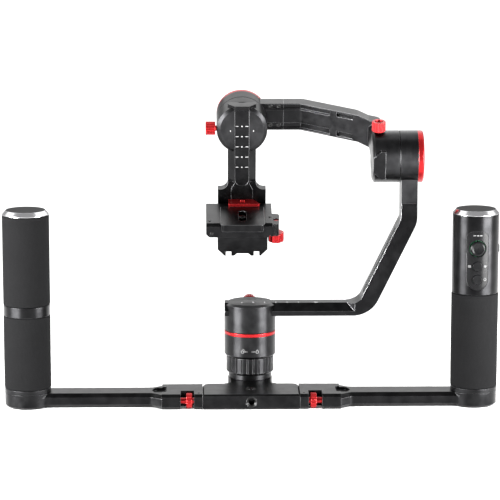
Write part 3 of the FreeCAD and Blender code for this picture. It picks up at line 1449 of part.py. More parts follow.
def make_all():
    make_centre_plate()
    make_thread_inserts()
    make_pan_base()
    make_locking_ring()
    make_rotor(pan_motor)
    make_motor_inside(pan_motor)
    make_pan_arm()
    make_stator(roll_motor, roll_stem)
    make_rotor(roll_motor)
    make_motor_inside(roll_motor)
    make_end_cap(roll_motor)
    make_roll_arm()
    make_roll_bracket()
    make_stator(tilt_motor)
    make_rotor(tilt_motor)
    make_motor_inside(tilt_motor)
    make_end_cap(tilt_motor)
    make_knobs()
    make_tilt_arm()
    make_cradle_block()
    make_clamp_base()
    make_camera_plate()
    make_plate_knob()
    make_safety_latch()
    for name, side in (("left", -1), ("right", 1)):
        make_side_arm(name, side)
        make_thumbwheel(name, side)
        make_battery(name, side)
        make_grip_cap(name, side)
    make_grip_core("left", -1)
    base = D.side_arm_height + D.grip_base_height
    make_foam("left", -1, [(base, D.left_band_bottom), (D.left_band_top, core_top)])
    make_foam("right", 1, [(base, D.head_bottom)])
    band = new_part("left_mid_ring", Frame(x=-D.grip_x))
    inner = D.core_radius + D.seat_clearance
    spin(band, "Z", [[
        (inner, D.left_band_bottom), (D.grip_radius - 0.4, D.left_band_bottom),
        (D.grip_radius, D.left_band_bottom + 0.4), (D.grip_radius, D.left_band_top - 0.4),
        (D.grip_radius - 0.4, D.left_band_top), (inner, D.left_band_top)]])
    make_right_head()
    make_joystick()


def check_and_write():
    doc.recompute()
    failed = [f"{item.Label}: {item.State}" for item in doc.Objects
              if "Invalid" in item.State or "Error" in item.State]
    for body in parts:
        shape = body.Shape
        if shape.isNull() or not shape.isValid() or not shape.Solids:
            failed.append(f"{body.Label}: no valid solid")
    if failed:
        raise RuntimeError("; ".join(failed))
    os.makedirs("parts", exist_ok=True)
    for body in parts:
        body.Shape.exportStep(f"parts/{body.Label}.step")
        print(f"{body.Label}: {len(body.Shape.Solids)} solid(s), {body.Shape.Volume / 1000:.2f} cm3")
    print(f"{len(parts)} nodes")


make_all()
check_and_write()
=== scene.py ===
"""Looks of a two-handed gimbal stabilizer: finishes, foam sleeves, marks, threads and the stage.

Laid out as an add-on and run as a script. Lengths are in metres; a name that ends in _mm is in millimetres.
"""

import json
import math

import bmesh
import bpy
import numpy as np
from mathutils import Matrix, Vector
from mathutils.bvhtree import BVHTree

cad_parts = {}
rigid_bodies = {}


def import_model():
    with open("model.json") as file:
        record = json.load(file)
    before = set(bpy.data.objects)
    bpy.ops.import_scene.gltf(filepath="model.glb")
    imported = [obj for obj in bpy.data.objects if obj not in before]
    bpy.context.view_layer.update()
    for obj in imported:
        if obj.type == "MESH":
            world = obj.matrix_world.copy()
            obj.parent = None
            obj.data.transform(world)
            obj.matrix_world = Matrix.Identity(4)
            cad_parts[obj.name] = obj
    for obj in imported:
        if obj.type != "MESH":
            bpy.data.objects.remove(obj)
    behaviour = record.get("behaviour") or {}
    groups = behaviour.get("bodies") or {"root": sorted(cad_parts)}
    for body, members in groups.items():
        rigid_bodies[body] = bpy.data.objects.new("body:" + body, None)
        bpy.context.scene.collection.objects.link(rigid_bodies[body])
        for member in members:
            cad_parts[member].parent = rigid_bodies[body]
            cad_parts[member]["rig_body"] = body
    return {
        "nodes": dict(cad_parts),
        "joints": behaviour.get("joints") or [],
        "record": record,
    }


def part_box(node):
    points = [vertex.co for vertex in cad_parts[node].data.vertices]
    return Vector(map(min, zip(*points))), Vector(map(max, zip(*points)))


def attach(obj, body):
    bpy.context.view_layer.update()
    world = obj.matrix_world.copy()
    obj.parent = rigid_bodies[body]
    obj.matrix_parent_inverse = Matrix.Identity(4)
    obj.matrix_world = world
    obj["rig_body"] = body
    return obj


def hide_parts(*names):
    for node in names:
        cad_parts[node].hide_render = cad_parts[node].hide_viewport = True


bl_info = {
    "name": "Gimbal stabilizer looks",
    "version": (1, 0, 0),
    "blender": (4, 5, 0),
    "location": "View3D > Sidebar > Gimbal",
    "description": "Finishes, foam sleeves and marks for a two-handed gimbal stabilizer",
    "category": "Object",
}

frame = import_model()
NODES = frame["nodes"]
JOINTS = {joint["name"]: joint for joint in frame["joints"]}
MOUNTS = {mount["name"]: mount for mount in frame["record"]["mounts"]}
MM = 0.001

# Sizes in millimetres.
FOAM_WALL = 3.2  # thickness of a foam sleeve
CAP_SLOPE = 3.1  # width of a grip cap's polished slope
THREAD_BACKING = 0.25  # how far a thread's outer wall lies in the metal
THREAD_GAP = 0.02  # room between a thread's valleys and its socket
MARK_SINK = 0.05  # how far a printed mark reaches into its surface
SCALE_STEP = 10.05  # from one row of the tilt bar's scale to the next
SCALE_TOP = 3.4  # the tilt bar's first row, above the motor's axis
TICK_STEP = 10.2  # from one tick of the pan bar's scale to the next
RIB_STEP = 2.1  # from one rib of the pan arm's elbow to the next
RIB_HEIGHT = 0.5
LOCK_LEVEL = 41.3  # height of the lock signs above the ground

# Factors.
SWELL_ROOM = 1.7  # the foam's two waves add up to 1.6 times the swell, and its sleeve keeps inside its box
TURNED_TONE = 1.8  # tone of the turned drums, over that of the plain black metal
PAINTED_EDGE_HIGHLIGHT_TONE = 3.0  # tone of the stronger painted edge highlights, over that of the plain ones
DIM_INK = 0.4  # tone of the dim marks, over that of the white ones


# ---------------------------------------------------------------- shapes


def add_piece(name, points, faces, material, body):
    """A mesh object at the origin that rides on a body. Points are in metres, faces are lists of point numbers."""
    mesh = bpy.data.meshes.new(name)
    mesh.from_pydata(np.asarray(points, float), [], [tuple(face) for face in np.asarray(faces).tolist()])
    mesh.polygons.foreach_set("use_smooth", np.ones(len(mesh.polygons), bool))
    mesh.update()
    piece = bpy.data.objects.new(name, mesh)
    bpy.context.scene.collection.objects.link(piece)
    mesh.materials.append(material)
    if body:
        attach(piece, body)
    return piece


def grid_faces(rows, columns, closed_rows=True):
    """Four-sided faces of a grid of rows x columns points. Columns wrap round, and rows do if they are closed."""
    row = np.arange(rows if closed_rows else rows - 1)[:, None]
    column = np.arange(columns)[None, :]
    next_row, next_column = (row + 1) % rows, (column + 1) % columns
    corners = [
        row * columns + column,
        row * columns + next_column,
        next_row * columns + next_column,
        next_row * columns + column,
    ]
    return np.stack([np.broadcast_to(corner, (len(row), columns)) for corner in corners], -1).reshape(-1, 4)


class FlatPlace:
    """A flat patch of a node. A line from start along inward meets the node at the origin; u runs along right."""

    def __init__(self, node, start_mm, inward, right=(1, 0, 0)):
        mesh = NODES[node].data
        tree = BVHTree.FromPolygons([v.co for v in mesh.vertices], [tuple(p.vertices) for p in mesh.polygons])
        hit, normal, _, _ = tree.ray_cast(Vector(start_mm) * MM, Vector(inward).normalized())
        if hit is None:
            raise RuntimeError(f"no surface of {node} where its marks go")
        if normal.dot(Vector(inward)) > 0:
            normal = -normal
        across = Vector(right)
        across = (across - normal * across.dot(normal)).normalized()
        self.origin, self.out = np.array(hit), np.array(normal)
        self.right, self.up = np.array(across), np.array(normal.cross(across))

    def points(self, u, v, height):
        """Origin plus u along right, v along up and height along the outward normal, all in millimetres."""
        parts = [np.multiply.outer(np.asarray(value, float) * MM, axis)
                 for value, axis in ((u, self.right), (v, self.up), (height, self.out))]
        return self.origin + parts[0] + parts[1] + parts[2]


class RoundPlace:
    """The wall of an upright drum. u runs round the wall from its front, v is the height above the ground."""

    def __init__(self, x_mm, y_mm, radius_mm):
        self.x, self.y, self.radius = x_mm, y_mm, radius_mm

    def points(self, u, v, height):
        """x and y are the sine and minus the cosine of u over the radius, times the radius plus the height."""
        angle = np.asarray(u, float) / self.radius
        reach = self.radius + height
        x, y, z = np.broadcast_arrays(self.x + reach * np.sin(angle), self.y - reach * np.cos(angle), v)
        return np.stack([x, y, z], -1) * MM


def band(points, width, closed=False):
    """One painted stroke: its line in millimetres, its width along the line, and whether it ends where it starts."""
    line = np.asarray(points, float)
    return line, np.broadcast_to(np.asarray(width, float), len(line)), closed


def dash(u, v, length, width, turn=0.0):
    """A straight stroke of that length about (u, v), turned by degrees from level."""
    along = np.linspace(-length / 2, length / 2, 7)
    angle = math.radians(turn)
    return band(np.stack([u + along * math.cos(angle), v + along * math.sin(angle)], 1), width)


def dot(u, v, radius):
    """A filled circle: a level stroke whose width at each place is the circle's own height there."""
    along = -np.cos(np.linspace(0.08, math.pi - 0.08, 15)) * radius
    return band(np.stack([u + along, np.full_like(along, v)], 1), 2 * np.sqrt(radius**2 - along**2))


def arc(u, v, radius, start, end, width):
    """Part of a circle from one angle to another, in degrees from the right and turning up."""
    whole = abs(end - start) >= 360
    angle = np.radians(np.linspace(start, end, 40, endpoint=not whole))
    return band(np.stack([u + radius * np.cos(angle), v + radius * np.sin(angle)], 1), width, whole)


def arrow(u, v, length, width, head):
    """A level arrow from u to u + length: a shaft, then a head whose width falls to its tip."""
    side = math.copysign(1, length)
    shaft_end = u + length - side * head
    shaft = np.linspace(u, shaft_end, 6)
    tip = np.linspace(shaft_end, u + length, 6)
    return [
        band(np.stack([shaft, np.full(6, v)], 1), width),
        band(np.stack([tip, np.full(6, v)], 1), np.linspace(2 * head, 0.04, 6)),
    ]


def add_strokes(name, strokes, place, thickness_mm, material, body):
    """Strokes as thin closed bands. Each side is the line moved half its width along the line's normal."""
    points, faces, count = [], [], 0
    for line, width, closed in strokes:
        if closed:
            step = np.roll(line, -1, 0) - np.roll(line, 1, 0)
        else:
            step = np.gradient(line, axis=0)
        step = step / np.linalg.norm(step, axis=1, keepdims=True)
        side = np.stack([-step[:, 1], step[:, 0]], 1) * width[:, None] / 2
        left, right = line + side, line - side
        low, high = -MARK_SINK, thickness_mm
        corners = [place.points(*edge.T, height) for edge, height in
                   ((left, low), (right, low), (right, high), (left, high))]
        points.append(np.stack(corners, 1).reshape(-1, 3))
        faces.append(grid_faces(len(line), 4, closed)[:, ::-1] + count)
        if not closed:
            last = count + 4 * (len(line) - 1)
            faces.append(np.array([[count, count + 3, count + 2, count + 1], [last, last + 1, last + 2, last + 3]]))
        count += 4 * len(line)
    piece = add_piece(name, np.concatenate(points), np.concatenate(faces), material, body)
    outward(piece)
    return piece


def outward(piece):
    """Turns every face of a closed piece outwards."""
    work = bmesh.new()
    work.from_mesh(piece.data)
    bmesh.ops.recalc_face_normals(work, faces=work.faces)
    work.to_mesh(piece.data)
    work.free()


def revolve(profile_mm, x_mm, y_mm, count, wave_mm=0.0):
    """A closed profile of (radius, height) carried round an upright axis; wave adds a low swell to the outer wall."""
    profile = np.asarray(profile_mm, float)
    turn = np.linspace(0, 2 * math.pi, count, endpoint=False)[:, None]
    radius, height = profile[None, :, 0], profile[None, :, 1]
    outer = radius > profile[:, 0].max() - 0.5
    swell = wave_mm * outer * (np.sin(3 * turn + height * 0.09) + np.sin(5 * turn - height * 0.047) * 0.6)
    radius = radius + swell
    x = x_mm + radius * np.cos(turn)
    y = y_mm + radius * np.sin(turn)
    z = np.broadcast_to(height, x.shape)
    return np.stack([x, y, z], -1).reshape(-1, 3) * MM


# ---------------------------------------------------------------- shared effects


def axis_distance(nodes, link, vector):
    """Nodes for the distance from the Z axis, which is the root of x squared plus y squared. Also gives the parts."""
    parts = nodes.new("ShaderNodeSeparateXYZ")
    flat = nodes.new("ShaderNodeCombineXYZ")
    length = nodes.new("ShaderNodeVectorMath")
    length.operation = "LENGTH"
    link(vector, parts.inputs[0])
    link(parts.outputs["X"], flat.inputs["X"])
    link(parts.outputs["Y"], flat.inputs["Y"])
    link(flat.outputs[0], length.inputs[0])
    return length.outputs["Value"], parts


def new_group(name, inputs, outputs):
    """An empty shader node group with its named inputs (name, kind, value) and outputs (name, kind)."""
    group = bpy.data.node_groups.new(name, "ShaderNodeTree")
    for label, kind, value in inputs:
        socket = group.interface.new_socket(name=label, in_out="INPUT", socket_type=kind)
        if value is not None:
            socket.default_value = value
    for label, kind in outputs:
        group.interface.new_socket(name=label, in_out="OUTPUT", socket_type=kind)
    return group, group.nodes.new("NodeGroupInput"), group.nodes.new("NodeGroupOutput")


def fine_grain_group():
    """Grain: a fine noise at Scale. Cloud: a soft noise thirty times larger, for slow changes of tone."""
    group, given, result = new_group(
        "Fine grain",
        [("Vector", "NodeSocketVector", None), ("Scale", "NodeSocketFloat", 3000.0)],
        [("Grain", "NodeSocketFloat"), ("Cloud", "NodeSocketFloat")],
    )
    nodes, link = group.nodes, group.links.new
    fine = nodes.new("ShaderNodeTexNoise")
    fine.inputs["Detail"].default_value = 3.0
    fine.inputs["Roughness"].default_value = 0.6
    large = nodes.new("ShaderNodeMath")
    large.operation = "DIVIDE"
    large.inputs[1].default_value = 30.0
    soft = nodes.new("ShaderNodeTexNoise")
    soft.inputs["Detail"].default_value = 2.0
    link(given.outputs["Vector"], fine.inputs["Vector"])
    link(given.outputs["Vector"], soft.inputs["Vector"])
    link(given.outputs["Scale"], fine.inputs["Scale"])
    link(given.outputs["Scale"], large.inputs[0])
    link(large.outputs[0], soft.inputs["Scale"])
    link(fine.outputs["Fac"], result.inputs["Grain"])
    link(soft.outputs["Fac"], result.inputs["Cloud"])
    return group


def turned_lines_group():
    """Lines: noise of the distance from the Z axis and of the height only, which draws rings as a lathe does."""
    group, given, result = new_group(
        "Turned lines",
        [("Vector", "NodeSocketVector", None), ("Scale", "NodeSocketFloat", 2500.0)],
        [("Lines", "NodeSocketFloat")],
    )
    nodes, link = group.nodes, group.links.new
    distance, parts = axis_distance(nodes, link, given.outputs["Vector"])
    rings = nodes.new("ShaderNodeCombineXYZ")
    noise = nodes.new("ShaderNodeTexNoise")
    noise.inputs["Detail"].default_value = 4.0
    noise.inputs["Roughness"].default_value = 0.7
    link(distance, rings.inputs["X"])
    link(parts.outputs["Z"], rings.inputs["Z"])
    link(rings.outputs[0], noise.inputs["Vector"])
    link(given.outputs["Scale"], noise.inputs["Scale"])
    link(noise.outputs["Fac"], result.inputs["Lines"])
    return group


def soft_edge_group():
    """Normal: the surface's own, rounded over near its edges. Edge: how far that turns it, from 0 on a flat face."""
    group, given, result = new_group(
        "Soft edge",
        [("Radius", "NodeSocketFloat", 0.0004)],
        [("Normal", "NodeSocketVector"), ("Edge", "NodeSocketFloat")],
    )
    nodes, link = group.nodes, group.links.new
    bevel = nodes.new("ShaderNodeBevel")
    bevel.samples = 6
    own = nodes.new("ShaderNodeNewGeometry")
    same = nodes.new("ShaderNodeVectorMath")
    same.operation = "DOT_PRODUCT"
    turned = nodes.new("ShaderNodeMapRange")
    turned.inputs["From Min"].default_value = 0.995
    turned.inputs["From Max"].default_value = 0.86
    link(given.outputs["Radius"], bevel.inputs["Radius"])
    link(bevel.outputs["Normal"], same.inputs[0])
    link(own.outputs["Normal"], same.inputs[1])
    link(same.outputs["Value"], turned.inputs["Value"])
    link(bevel.outputs["Normal"], result.inputs["Normal"])
    link(turned.outputs["Result"], result.inputs["Edge"])
    return group


def toned(colour, factor):
    """A colour times a factor."""
    return [part * factor for part in colour]


class Shared:
    """The node groups that the finishes share, made once."""

    groups = {}

    @classmethod
    def get(cls, maker):
        """The group that this function makes, from its first call on."""
        if maker.__name__ not in cls.groups:
            cls.groups[maker.__name__] = maker()
        return cls.groups[maker.__name__]


class Finish:
    """A material under construction: its nodes, its main shader and the coordinates of its object."""

    def __init__(self, name):
        self.material = bpy.data.materials.new(name)
        self.material.use_nodes = True
        self.nodes, self.link = self.material.node_tree.nodes, self.material.node_tree.links.new
        self.shader = self.nodes["Principled BSDF"]
        self.place = self.nodes.new("ShaderNodeTexCoord").outputs["Object"]

    def set(self, **values):
        """Sets the shader's own sockets; a name's underscores stand for spaces."""
        for name, value in values.items():
            self.shader.inputs[name.replace("_", " ")].default_value = value

    def group(self, maker, **values):
        """Places a shared group with its own inputs, each a number or a socket, and gives its outputs."""
        node = self.nodes.new("ShaderNodeGroup")
        node.node_tree = Shared.get(maker)
        for name, value in values.items():
            if hasattr(value, "is_linked"):
                self.link(value, node.inputs[name])
            else:
                node.inputs[name].default_value = value
        return node.outputs

    def moved(self, origin_mm, rotation=(0.0, 0.0, 0.0)):
        """Object coordinates about a point: first shifted to it, then turned."""
        shift = self.nodes.new("ShaderNodeVectorMath")
        shift.operation = "SUBTRACT"
        shift.inputs[1].default_value = Vector(origin_mm) * MM
        turn = self.nodes.new("ShaderNodeMapping")
        turn.inputs["Rotation"].default_value = rotation
        self.link(self.place, shift.inputs[0])
        self.link(shift.outputs[0], turn.inputs["Vector"])
        return turn.outputs["Vector"]

    def round_axis(self, origin_mm, axis):
        """The direction round an axis: the axis crossed with the place's offset from it."""
        cross = self.nodes.new("ShaderNodeVectorMath")
        cross.operation = "CROSS_PRODUCT"
        cross.inputs[0].default_value = axis
        self.link(self.moved(origin_mm), cross.inputs[1])
        world = self.nodes.new("ShaderNodeVectorTransform")
        world.vector_type, world.convert_from, world.convert_to = "VECTOR", "OBJECT", "WORLD"
        self.link(cross.outputs[0], world.inputs[0])
        unit = self.nodes.new("ShaderNodeVectorMath")
        unit.operation = "NORMALIZE"
        self.link(world.outputs[0], unit.inputs[0])
        return unit.outputs[0]

    def scaled(self, value, low, high, out_low, out_high):
        """Maps low to high onto another span, and keeps what lies outside at its ends."""
        node = self.nodes.new("ShaderNodeMapRange")
        for name, number in (("From Min", low), ("From Max", high), ("To Min", out_low), ("To Max", out_high)):
            node.inputs[name].default_value = number
        self.link(value, node.inputs["Value"])
        return node.outputs["Result"]

    def mixed(self, factor, first, second):
        """A colour between two others; each is a colour or a socket."""
        node = self.nodes.new("ShaderNodeMix")
        node.data_type = "RGBA"
        self.link(factor, node.inputs["Factor"])
        for value, socket in ((first, node.inputs[6]), (second, node.inputs[7])):
            if hasattr(value, "is_linked"):
                self.link(value, socket)
            else:
                socket.default_value = (*value[:3], 1.0)
        return node.outputs[2]

    def bump(self, height, strength, distance, normal=None):
        """Gives the shader a bumped normal, on top of another normal if there is one."""
        node = self.nodes.new("ShaderNodeBump")
        node.inputs["Strength"].default_value = strength
        node.inputs["Distance"].default_value = distance
        self.link(height, node.inputs["Height"])
        if normal is not None:
            self.link(normal, node.inputs["Normal"])
        self.link(node.outputs["Normal"], self.shader.inputs["Normal"])

    def feed(self, name, socket):
        """Links a socket to one of the shader's own."""
        self.link(socket, self.shader.inputs[name])


def metal(name, dark, light, edge, rough, scale=3500.0, bump=0.10, radius_mm=0.45, metallic=1.0,
          specular=0.5, turned=None, lines=0.0):
    """A satin metal: tone follows a soft noise, edges are rounded and get a painted highlight in the lighter edge
    colour, and turned pieces have fine rings.
    """
    finish = Finish(name)
    grain = finish.group(fine_grain_group, Vector=finish.place, Scale=scale)
    soft = finish.group(soft_edge_group, Radius=radius_mm * MM)
    tone = finish.mixed(finish.scaled(grain["Cloud"], 0.35, 0.65, 0.0, 1.0), dark, light)
    # Painted highlight: the edge colour is mixed into the base colour where the rounded edge turns the normal.
    finish.feed("Base Color", finish.mixed(soft["Edge"], tone, edge))
    height, texture = grain["Grain"], grain["Cloud"]
    if turned:
        rings = finish.group(turned_lines_group, Vector=finish.moved(*turned[:2]), Scale=2600.0)
        height = texture = rings["Lines"]
        finish.feed("Tangent", finish.round_axis(turned[0], turned[2]))
        finish.set(Anisotropic=0.65, Anisotropic_Rotation=0.25)
    finish.feed("Roughness", finish.scaled(texture, 0.3, 0.7, rough - 0.04 - lines, rough + 0.04 + lines))
    finish.bump(height, bump, 0.0001, soft["Normal"])
    finish.set(Metallic=metallic, Specular_IOR_Level=specular)
    return finish.material


def foam_finish(name, colour):
    """Fine closed-cell foam: small cells from two noises, a soft sheen and no gloss."""
    finish = Finish(name)
    grain = finish.group(fine_grain_group, Vector=finish.place, Scale=1500.0)
    cells = finish.nodes.new("ShaderNodeTexVoronoi")
    cells.inputs["Scale"].default_value = 1300.0
    finish.link(finish.place, cells.inputs["Vector"])
    darker, lighter = toned(colour, 0.72), toned(colour, 1.25)
    # Painted shade: each cell's tone is darker towards its middle, where the bump dips, and lighter towards its rim.
    tone = finish.mixed(finish.scaled(cells.outputs["Distance"], 0.1, 0.7, 0.0, 1.0), darker, lighter)
    cloud = finish.scaled(grain["Cloud"], 0.3, 0.7, 0.0, 0.35)
    finish.feed("Base Color", finish.mixed(cloud, tone, darker))
    finish.feed("Roughness", finish.scaled(grain["Grain"], 0.3, 0.7, 0.78, 0.95))
    finish.bump(cells.outputs["Distance"], 0.35, 0.0002)
    finish.set(Specular_IOR_Level=0.06)
    return finish.material


def cap_finish(name, x_mm, y_mm, disc_mm, bright, disc):
    """A polished slope round a dark disc: the distance from the grip's axis picks one or the other."""
    finish = Finish(name)
    about = finish.moved((x_mm, y_mm, 0.0))
    distance, _ = axis_distance(finish.nodes, finish.link, about)
    inside = finish.scaled(distance, (disc_mm + 0.02) * MM, (disc_mm - 0.02) * MM, 0.0, 1.0)
    rings = finish.group(turned_lines_group, Vector=about, Scale=3000.0)
    finish.feed("Base Color", finish.mixed(inside, bright, disc))
    finish.feed("Metallic", finish.scaled(inside, 0.0, 1.0, 1.0, 0.0))
    smooth = finish.scaled(rings["Lines"], 0.3, 0.7, 0.14, 0.22)
    rough = finish.scaled(rings["Lines"], 0.3, 0.7, 0.55, 0.65)
    finish.feed("Roughness", finish.mixed(inside, smooth, rough))
    finish.set(Specular_IOR_Level=0.1)
    soft = finish.group(soft_edge_group, Radius=0.25 * MM)
    finish.bump(rings["Lines"], 0.05, 0.0001, soft["Normal"])
    return finish.material


def winding_finish(name, colour):
    """Enamelled wire: ridges side by side, from a wave along the X axis."""
    finish = Finish(name)
    wave = finish.nodes.new("ShaderNodeTexWave")
    wave.inputs["Scale"].default_value = 320.0
    finish.link(finish.place, wave.inputs["Vector"])
    # Painted shade: the colour falls to 0.4 of itself in the wave's low parts, the grooves between the wire's ridges.
    finish.feed("Base Color", finish.mixed(wave.outputs["Fac"], toned(colour, 0.4), colour))
    finish.bump(wave.outputs["Fac"], 0.6, 0.0003)
    finish.set(Metallic=1.0, Roughness=0.3)
    return finish.material


def board_finish(name, colour, copper):
    """Solder mask over copper tracks: the joints of a brick pattern are the tracks."""
    finish = Finish(name)
    tracks = finish.nodes.new("ShaderNodeTexBrick")
    tracks.inputs["Scale"].default_value = 260.0
    tracks.inputs["Mortar Size"].default_value = 0.06
    finish.link(finish.place, tracks.inputs["Vector"])
    finish.feed("Base Color", finish.mixed(tracks.outputs["Fac"], colour, copper))
    finish.bump(tracks.outputs["Fac"], 0.2, 0.00005)
    finish.set(Roughness=0.35)
    return finish.material


def paint_finish(name, colour):
    """Printed marks: thin matt ink with a little unevenness."""
    finish = Finish(name)
    grain = finish.group(fine_grain_group, Vector=finish.place, Scale=6000.0)
    wear_and_edge_highlight = finish.scaled(grain["Grain"], 0.3, 0.7, 0.0, 1.0)
    finish.feed("Base Color", finish.mixed(wear_and_edge_highlight, colour, toned(colour, 0.8)))
    finish.feed("Roughness", finish.scaled(grain["Cloud"], 0.3, 0.7, 0.45, 0.6))
    return finish.material


def floor_finish(name, colour):
    """A plain pale floor with a faint change of tone."""
    finish = Finish(name)
    grain = finish.group(fine_grain_group, Vector=finish.place, Scale=60.0)
    finish.feed("Base Color", finish.mixed(grain["Cloud"], colour, toned(colour, 0.985)))
    finish.set(Roughness=0.9, Specular_IOR_Level=0.1)
    return finish.material


# ---------------------------------------------------------------- settings


def colour_property(name, description, value):
    """A colour that a user can change."""
    return bpy.props.FloatVectorProperty(
        name=name, description=description, default=value, size=3, min=0.0, max=1.0, subtype="COLOR")


class GimbalFinishSettings(bpy.types.PropertyGroup):
    """Colours of the object's finishes."""

    # The two black colours are mixed by a soft noise: a random change of tone.
    black: colour_property("Black metal", "Anodised metal in shade", (0.008, 0.008, 0.0084))
    black_light: colour_property(
        "Black metal, lighter", "Anodised metal where the coat is thin", (0.0125, 0.0125, 0.013))
    # Painted highlight: the lighter colour of the rounded edges of the metal finishes.
    edge: colour_property("Edges", "Edges of the black metal", (0.075, 0.075, 0.077))
    red: colour_property("Red metal", "Red anodised rings, caps and knobs", (0.30, 0.009, 0.011))
    foam: colour_property("Foam", "Foam sleeves of the grips", (0.0036, 0.0036, 0.0038))
    plastic: colour_property("Plastic", "Control panel and its buttons", (0.0025, 0.0025, 0.0027))
    bright: colour_property("Bright metal", "Polished slopes of the grip caps", (0.5, 0.5, 0.51))
    ink: colour_property("Ink", "Printed marks", (0.36, 0.36, 0.36))


class GimbalShapeSettings(bpy.types.PropertyGroup):
    """Sizes of the foam sleeves and the marks."""

    foam_edge: bpy.props.FloatProperty(
        name="Foam edge", description="Rounding of a foam sleeve's ends", default=0.0012, min=0.0002, unit="LENGTH")
    foam_swell: bpy.props.FloatProperty(
        name="Foam swell", description="Unevenness of the foam's wall", default=0.00004, min=0.0, unit="LENGTH")
    ink_height: bpy.props.FloatProperty(
        name="Ink height", description="How far a printed mark stands proud", default=0.00003, min=0.0, unit="LENGTH")
    thread_depth: bpy.props.FloatProperty(
        name="Thread depth", description="Depth of the sockets' screw threads", default=0.0005, unit="LENGTH")
    thread_pitch: bpy.props.FloatProperty(
        name="Thread pitch", description="Pitch of the sockets' screw threads", default=0.00127, unit="LENGTH")


class GimbalStageSettings(bpy.types.PropertyGroup):
    """The floor, the light and the camera."""

    floor: colour_property("Floor", "Colour of the plain floor", (0.86, 0.86, 0.86))
    floor_size: bpy.props.FloatProperty(
        name="Floor size", description="Side of the square floor", default=40.0, unit="LENGTH")
    ambient: bpy.props.FloatProperty(
        name="Ambient light", description="Strength of the even light all round", default=0.55)
    side_light: bpy.props.FloatProperty(
        name="Side lights", description="Power of each tall soft light beside the object, in watts", default=36.0)
    top_light: bpy.props.FloatProperty(
        name="Top light", description="Power of the wide soft light overhead, in watts", default=540.0)
    lens: bpy.props.FloatProperty(
        name="Lens", description="Focal length on a 36 mm wide sensor, in millimetres", default=187.2)
    camera_place: bpy.props.FloatVectorProperty(
        name="Camera", description="Where the camera stands", default=(-0.0441, -2.2492, 0.5563), unit="LENGTH")
    camera_target: bpy.props.FloatVectorProperty(
        name="Target", description="The point in the middle of the view", default=(-0.0009, 0.0, 0.1393), unit="LENGTH")


# ---------------------------------------------------------------- operators


def turned_about(name):
    """What a turned finish needs of a joint: its place in millimetres, the turn that puts its axis on Z, its axis."""
    joint = JOINTS[name]
    axis = Vector(joint["axis"])
    turn = tuple(axis.rotation_difference(Vector((0, 0, 1))).to_euler())
    return tuple(value / MM for value in joint["pos_m"]), turn, joint["axis"]


# The drums that are turned about each motor's axis, and the pieces whose edges get a stronger painted highlight.
TURNED = {
    "pan_axis": ("pan_rotor", "pan_base_housing", "locking_ring"),
    "roll_axis": ("roll_rotor", "roll_stator"),
    "tilt_axis": ("tilt_rotor", "tilt_stator"),
}
PAINTED_HIGHLIGHT_NODES = ("roll_arm", "roll_arm_bracket", "pan_arm", "camera_plate")


def dress(node, material):
    """Puts a material in a node's own slots."""
    NODES[node].data.materials.clear()
    NODES[node].data.materials.append(material)


class GIMBAL_OT_finish_nodes(bpy.types.Operator):
    """Gives every modelled node the finish of its material slot, and the motors their turned rings"""

    bl_idname = "gimbal.finish_nodes"
    bl_label = "Finish the metal and plastic"

    def execute(self, context):
        tones = context.scene.gimbal_finish
        black = dict(dark=tones.black, light=tones.black_light, edge=tones.edge)
        # The third colour of each metal finish is the painted highlight of its rounded edges.
        finishes = {
            "black_metal": metal("Black anodised metal", **black, rough=0.34),
            "dark_core": metal("Dark tube", **black, rough=0.4),
            "red_anodised": metal("Red anodised metal", tones.red, toned(tones.red, 0.8), (0.6, 0.06, 0.06),
                                  rough=0.3, metallic=0.85, specular=0.4),
            "black_steel": metal("Blackened steel", (0.015, 0.015, 0.015), (0.03, 0.03, 0.03), (0.06, 0.06, 0.06),
                                 rough=0.3),
            "steel": metal("Plain steel", (0.5, 0.5, 0.51), (0.62, 0.62, 0.63), (0.8, 0.8, 0.8), rough=0.28),
            "magnet": metal("Nickel plate", (0.55, 0.54, 0.5), (0.62, 0.6, 0.57), (0.8, 0.8, 0.8), rough=0.2),
            "copper": winding_finish("Enamelled winding", (0.65, 0.28, 0.12)),
            "panel_plastic": metal("Panel plastic", tones.plastic, toned(tones.plastic, 1.5),
                                   toned(tones.plastic, 4), rough=0.24, scale=5000.0, metallic=0.0,
                                   specular=0.09, bump=0.03),
            "cell_wrap": metal("Cell wrap", (0.03, 0.13, 0.35), (0.04, 0.16, 0.4), (0.1, 0.3, 0.6),
                               rough=0.3, metallic=0.0),
            "circuit_board": board_finish("Circuit board", (0.012, 0.10, 0.045), (0.03, 0.22, 0.09)),
        }
        for part in frame["record"]["subparts"]:
            if part["material_slot"] in finishes:
                dress(part["node"], finishes[part["material_slot"]])
        # Painted highlight: these pieces get an edge colour three times lighter than the plain one.
        wear_and_edge_highlight = metal("Black metal with bright edges", tones.black, tones.black_light,
                     toned(tones.edge, PAINTED_EDGE_HIGHLIGHT_TONE), rough=0.32, radius_mm=0.6)
        for node in PAINTED_HIGHLIGHT_NODES:
            dress(node, wear_and_edge_highlight)
        drum = dict(dark=toned(tones.black, TURNED_TONE), light=toned(tones.black_light, TURNED_TONE), edge=tones.edge)
        for joint, nodes in TURNED.items():
            turned = metal(f"Turned black metal {joint.removesuffix('_axis')}", **drum, rough=0.36,
                           turned=turned_about(joint), lines=0.05, bump=0.12)
            for node in nodes:
                dress(node, turned)
        for side, ring in (("left", "left_mid_ring"), ("right", "right_head")):
            low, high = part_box(f"{side}_cap")
            middle, reach = (low + high) / 2 / MM, (high.x - low.x) / 2 / MM
            upright = (tuple(middle), (0.0, 0.0, 0.0), (0.0, 0.0, 1.0))
            dress(ring, metal(f"Gloss black metal {side}", **black, rough=0.33, turned=upright, lines=0.02, bump=0.04))
            dress(f"{side}_cap", cap_finish(f"Cap {side}", middle.x, middle.y, reach - CAP_SLOPE,
                                            tones.bright, tones.plastic))
        return {"FINISHED"}


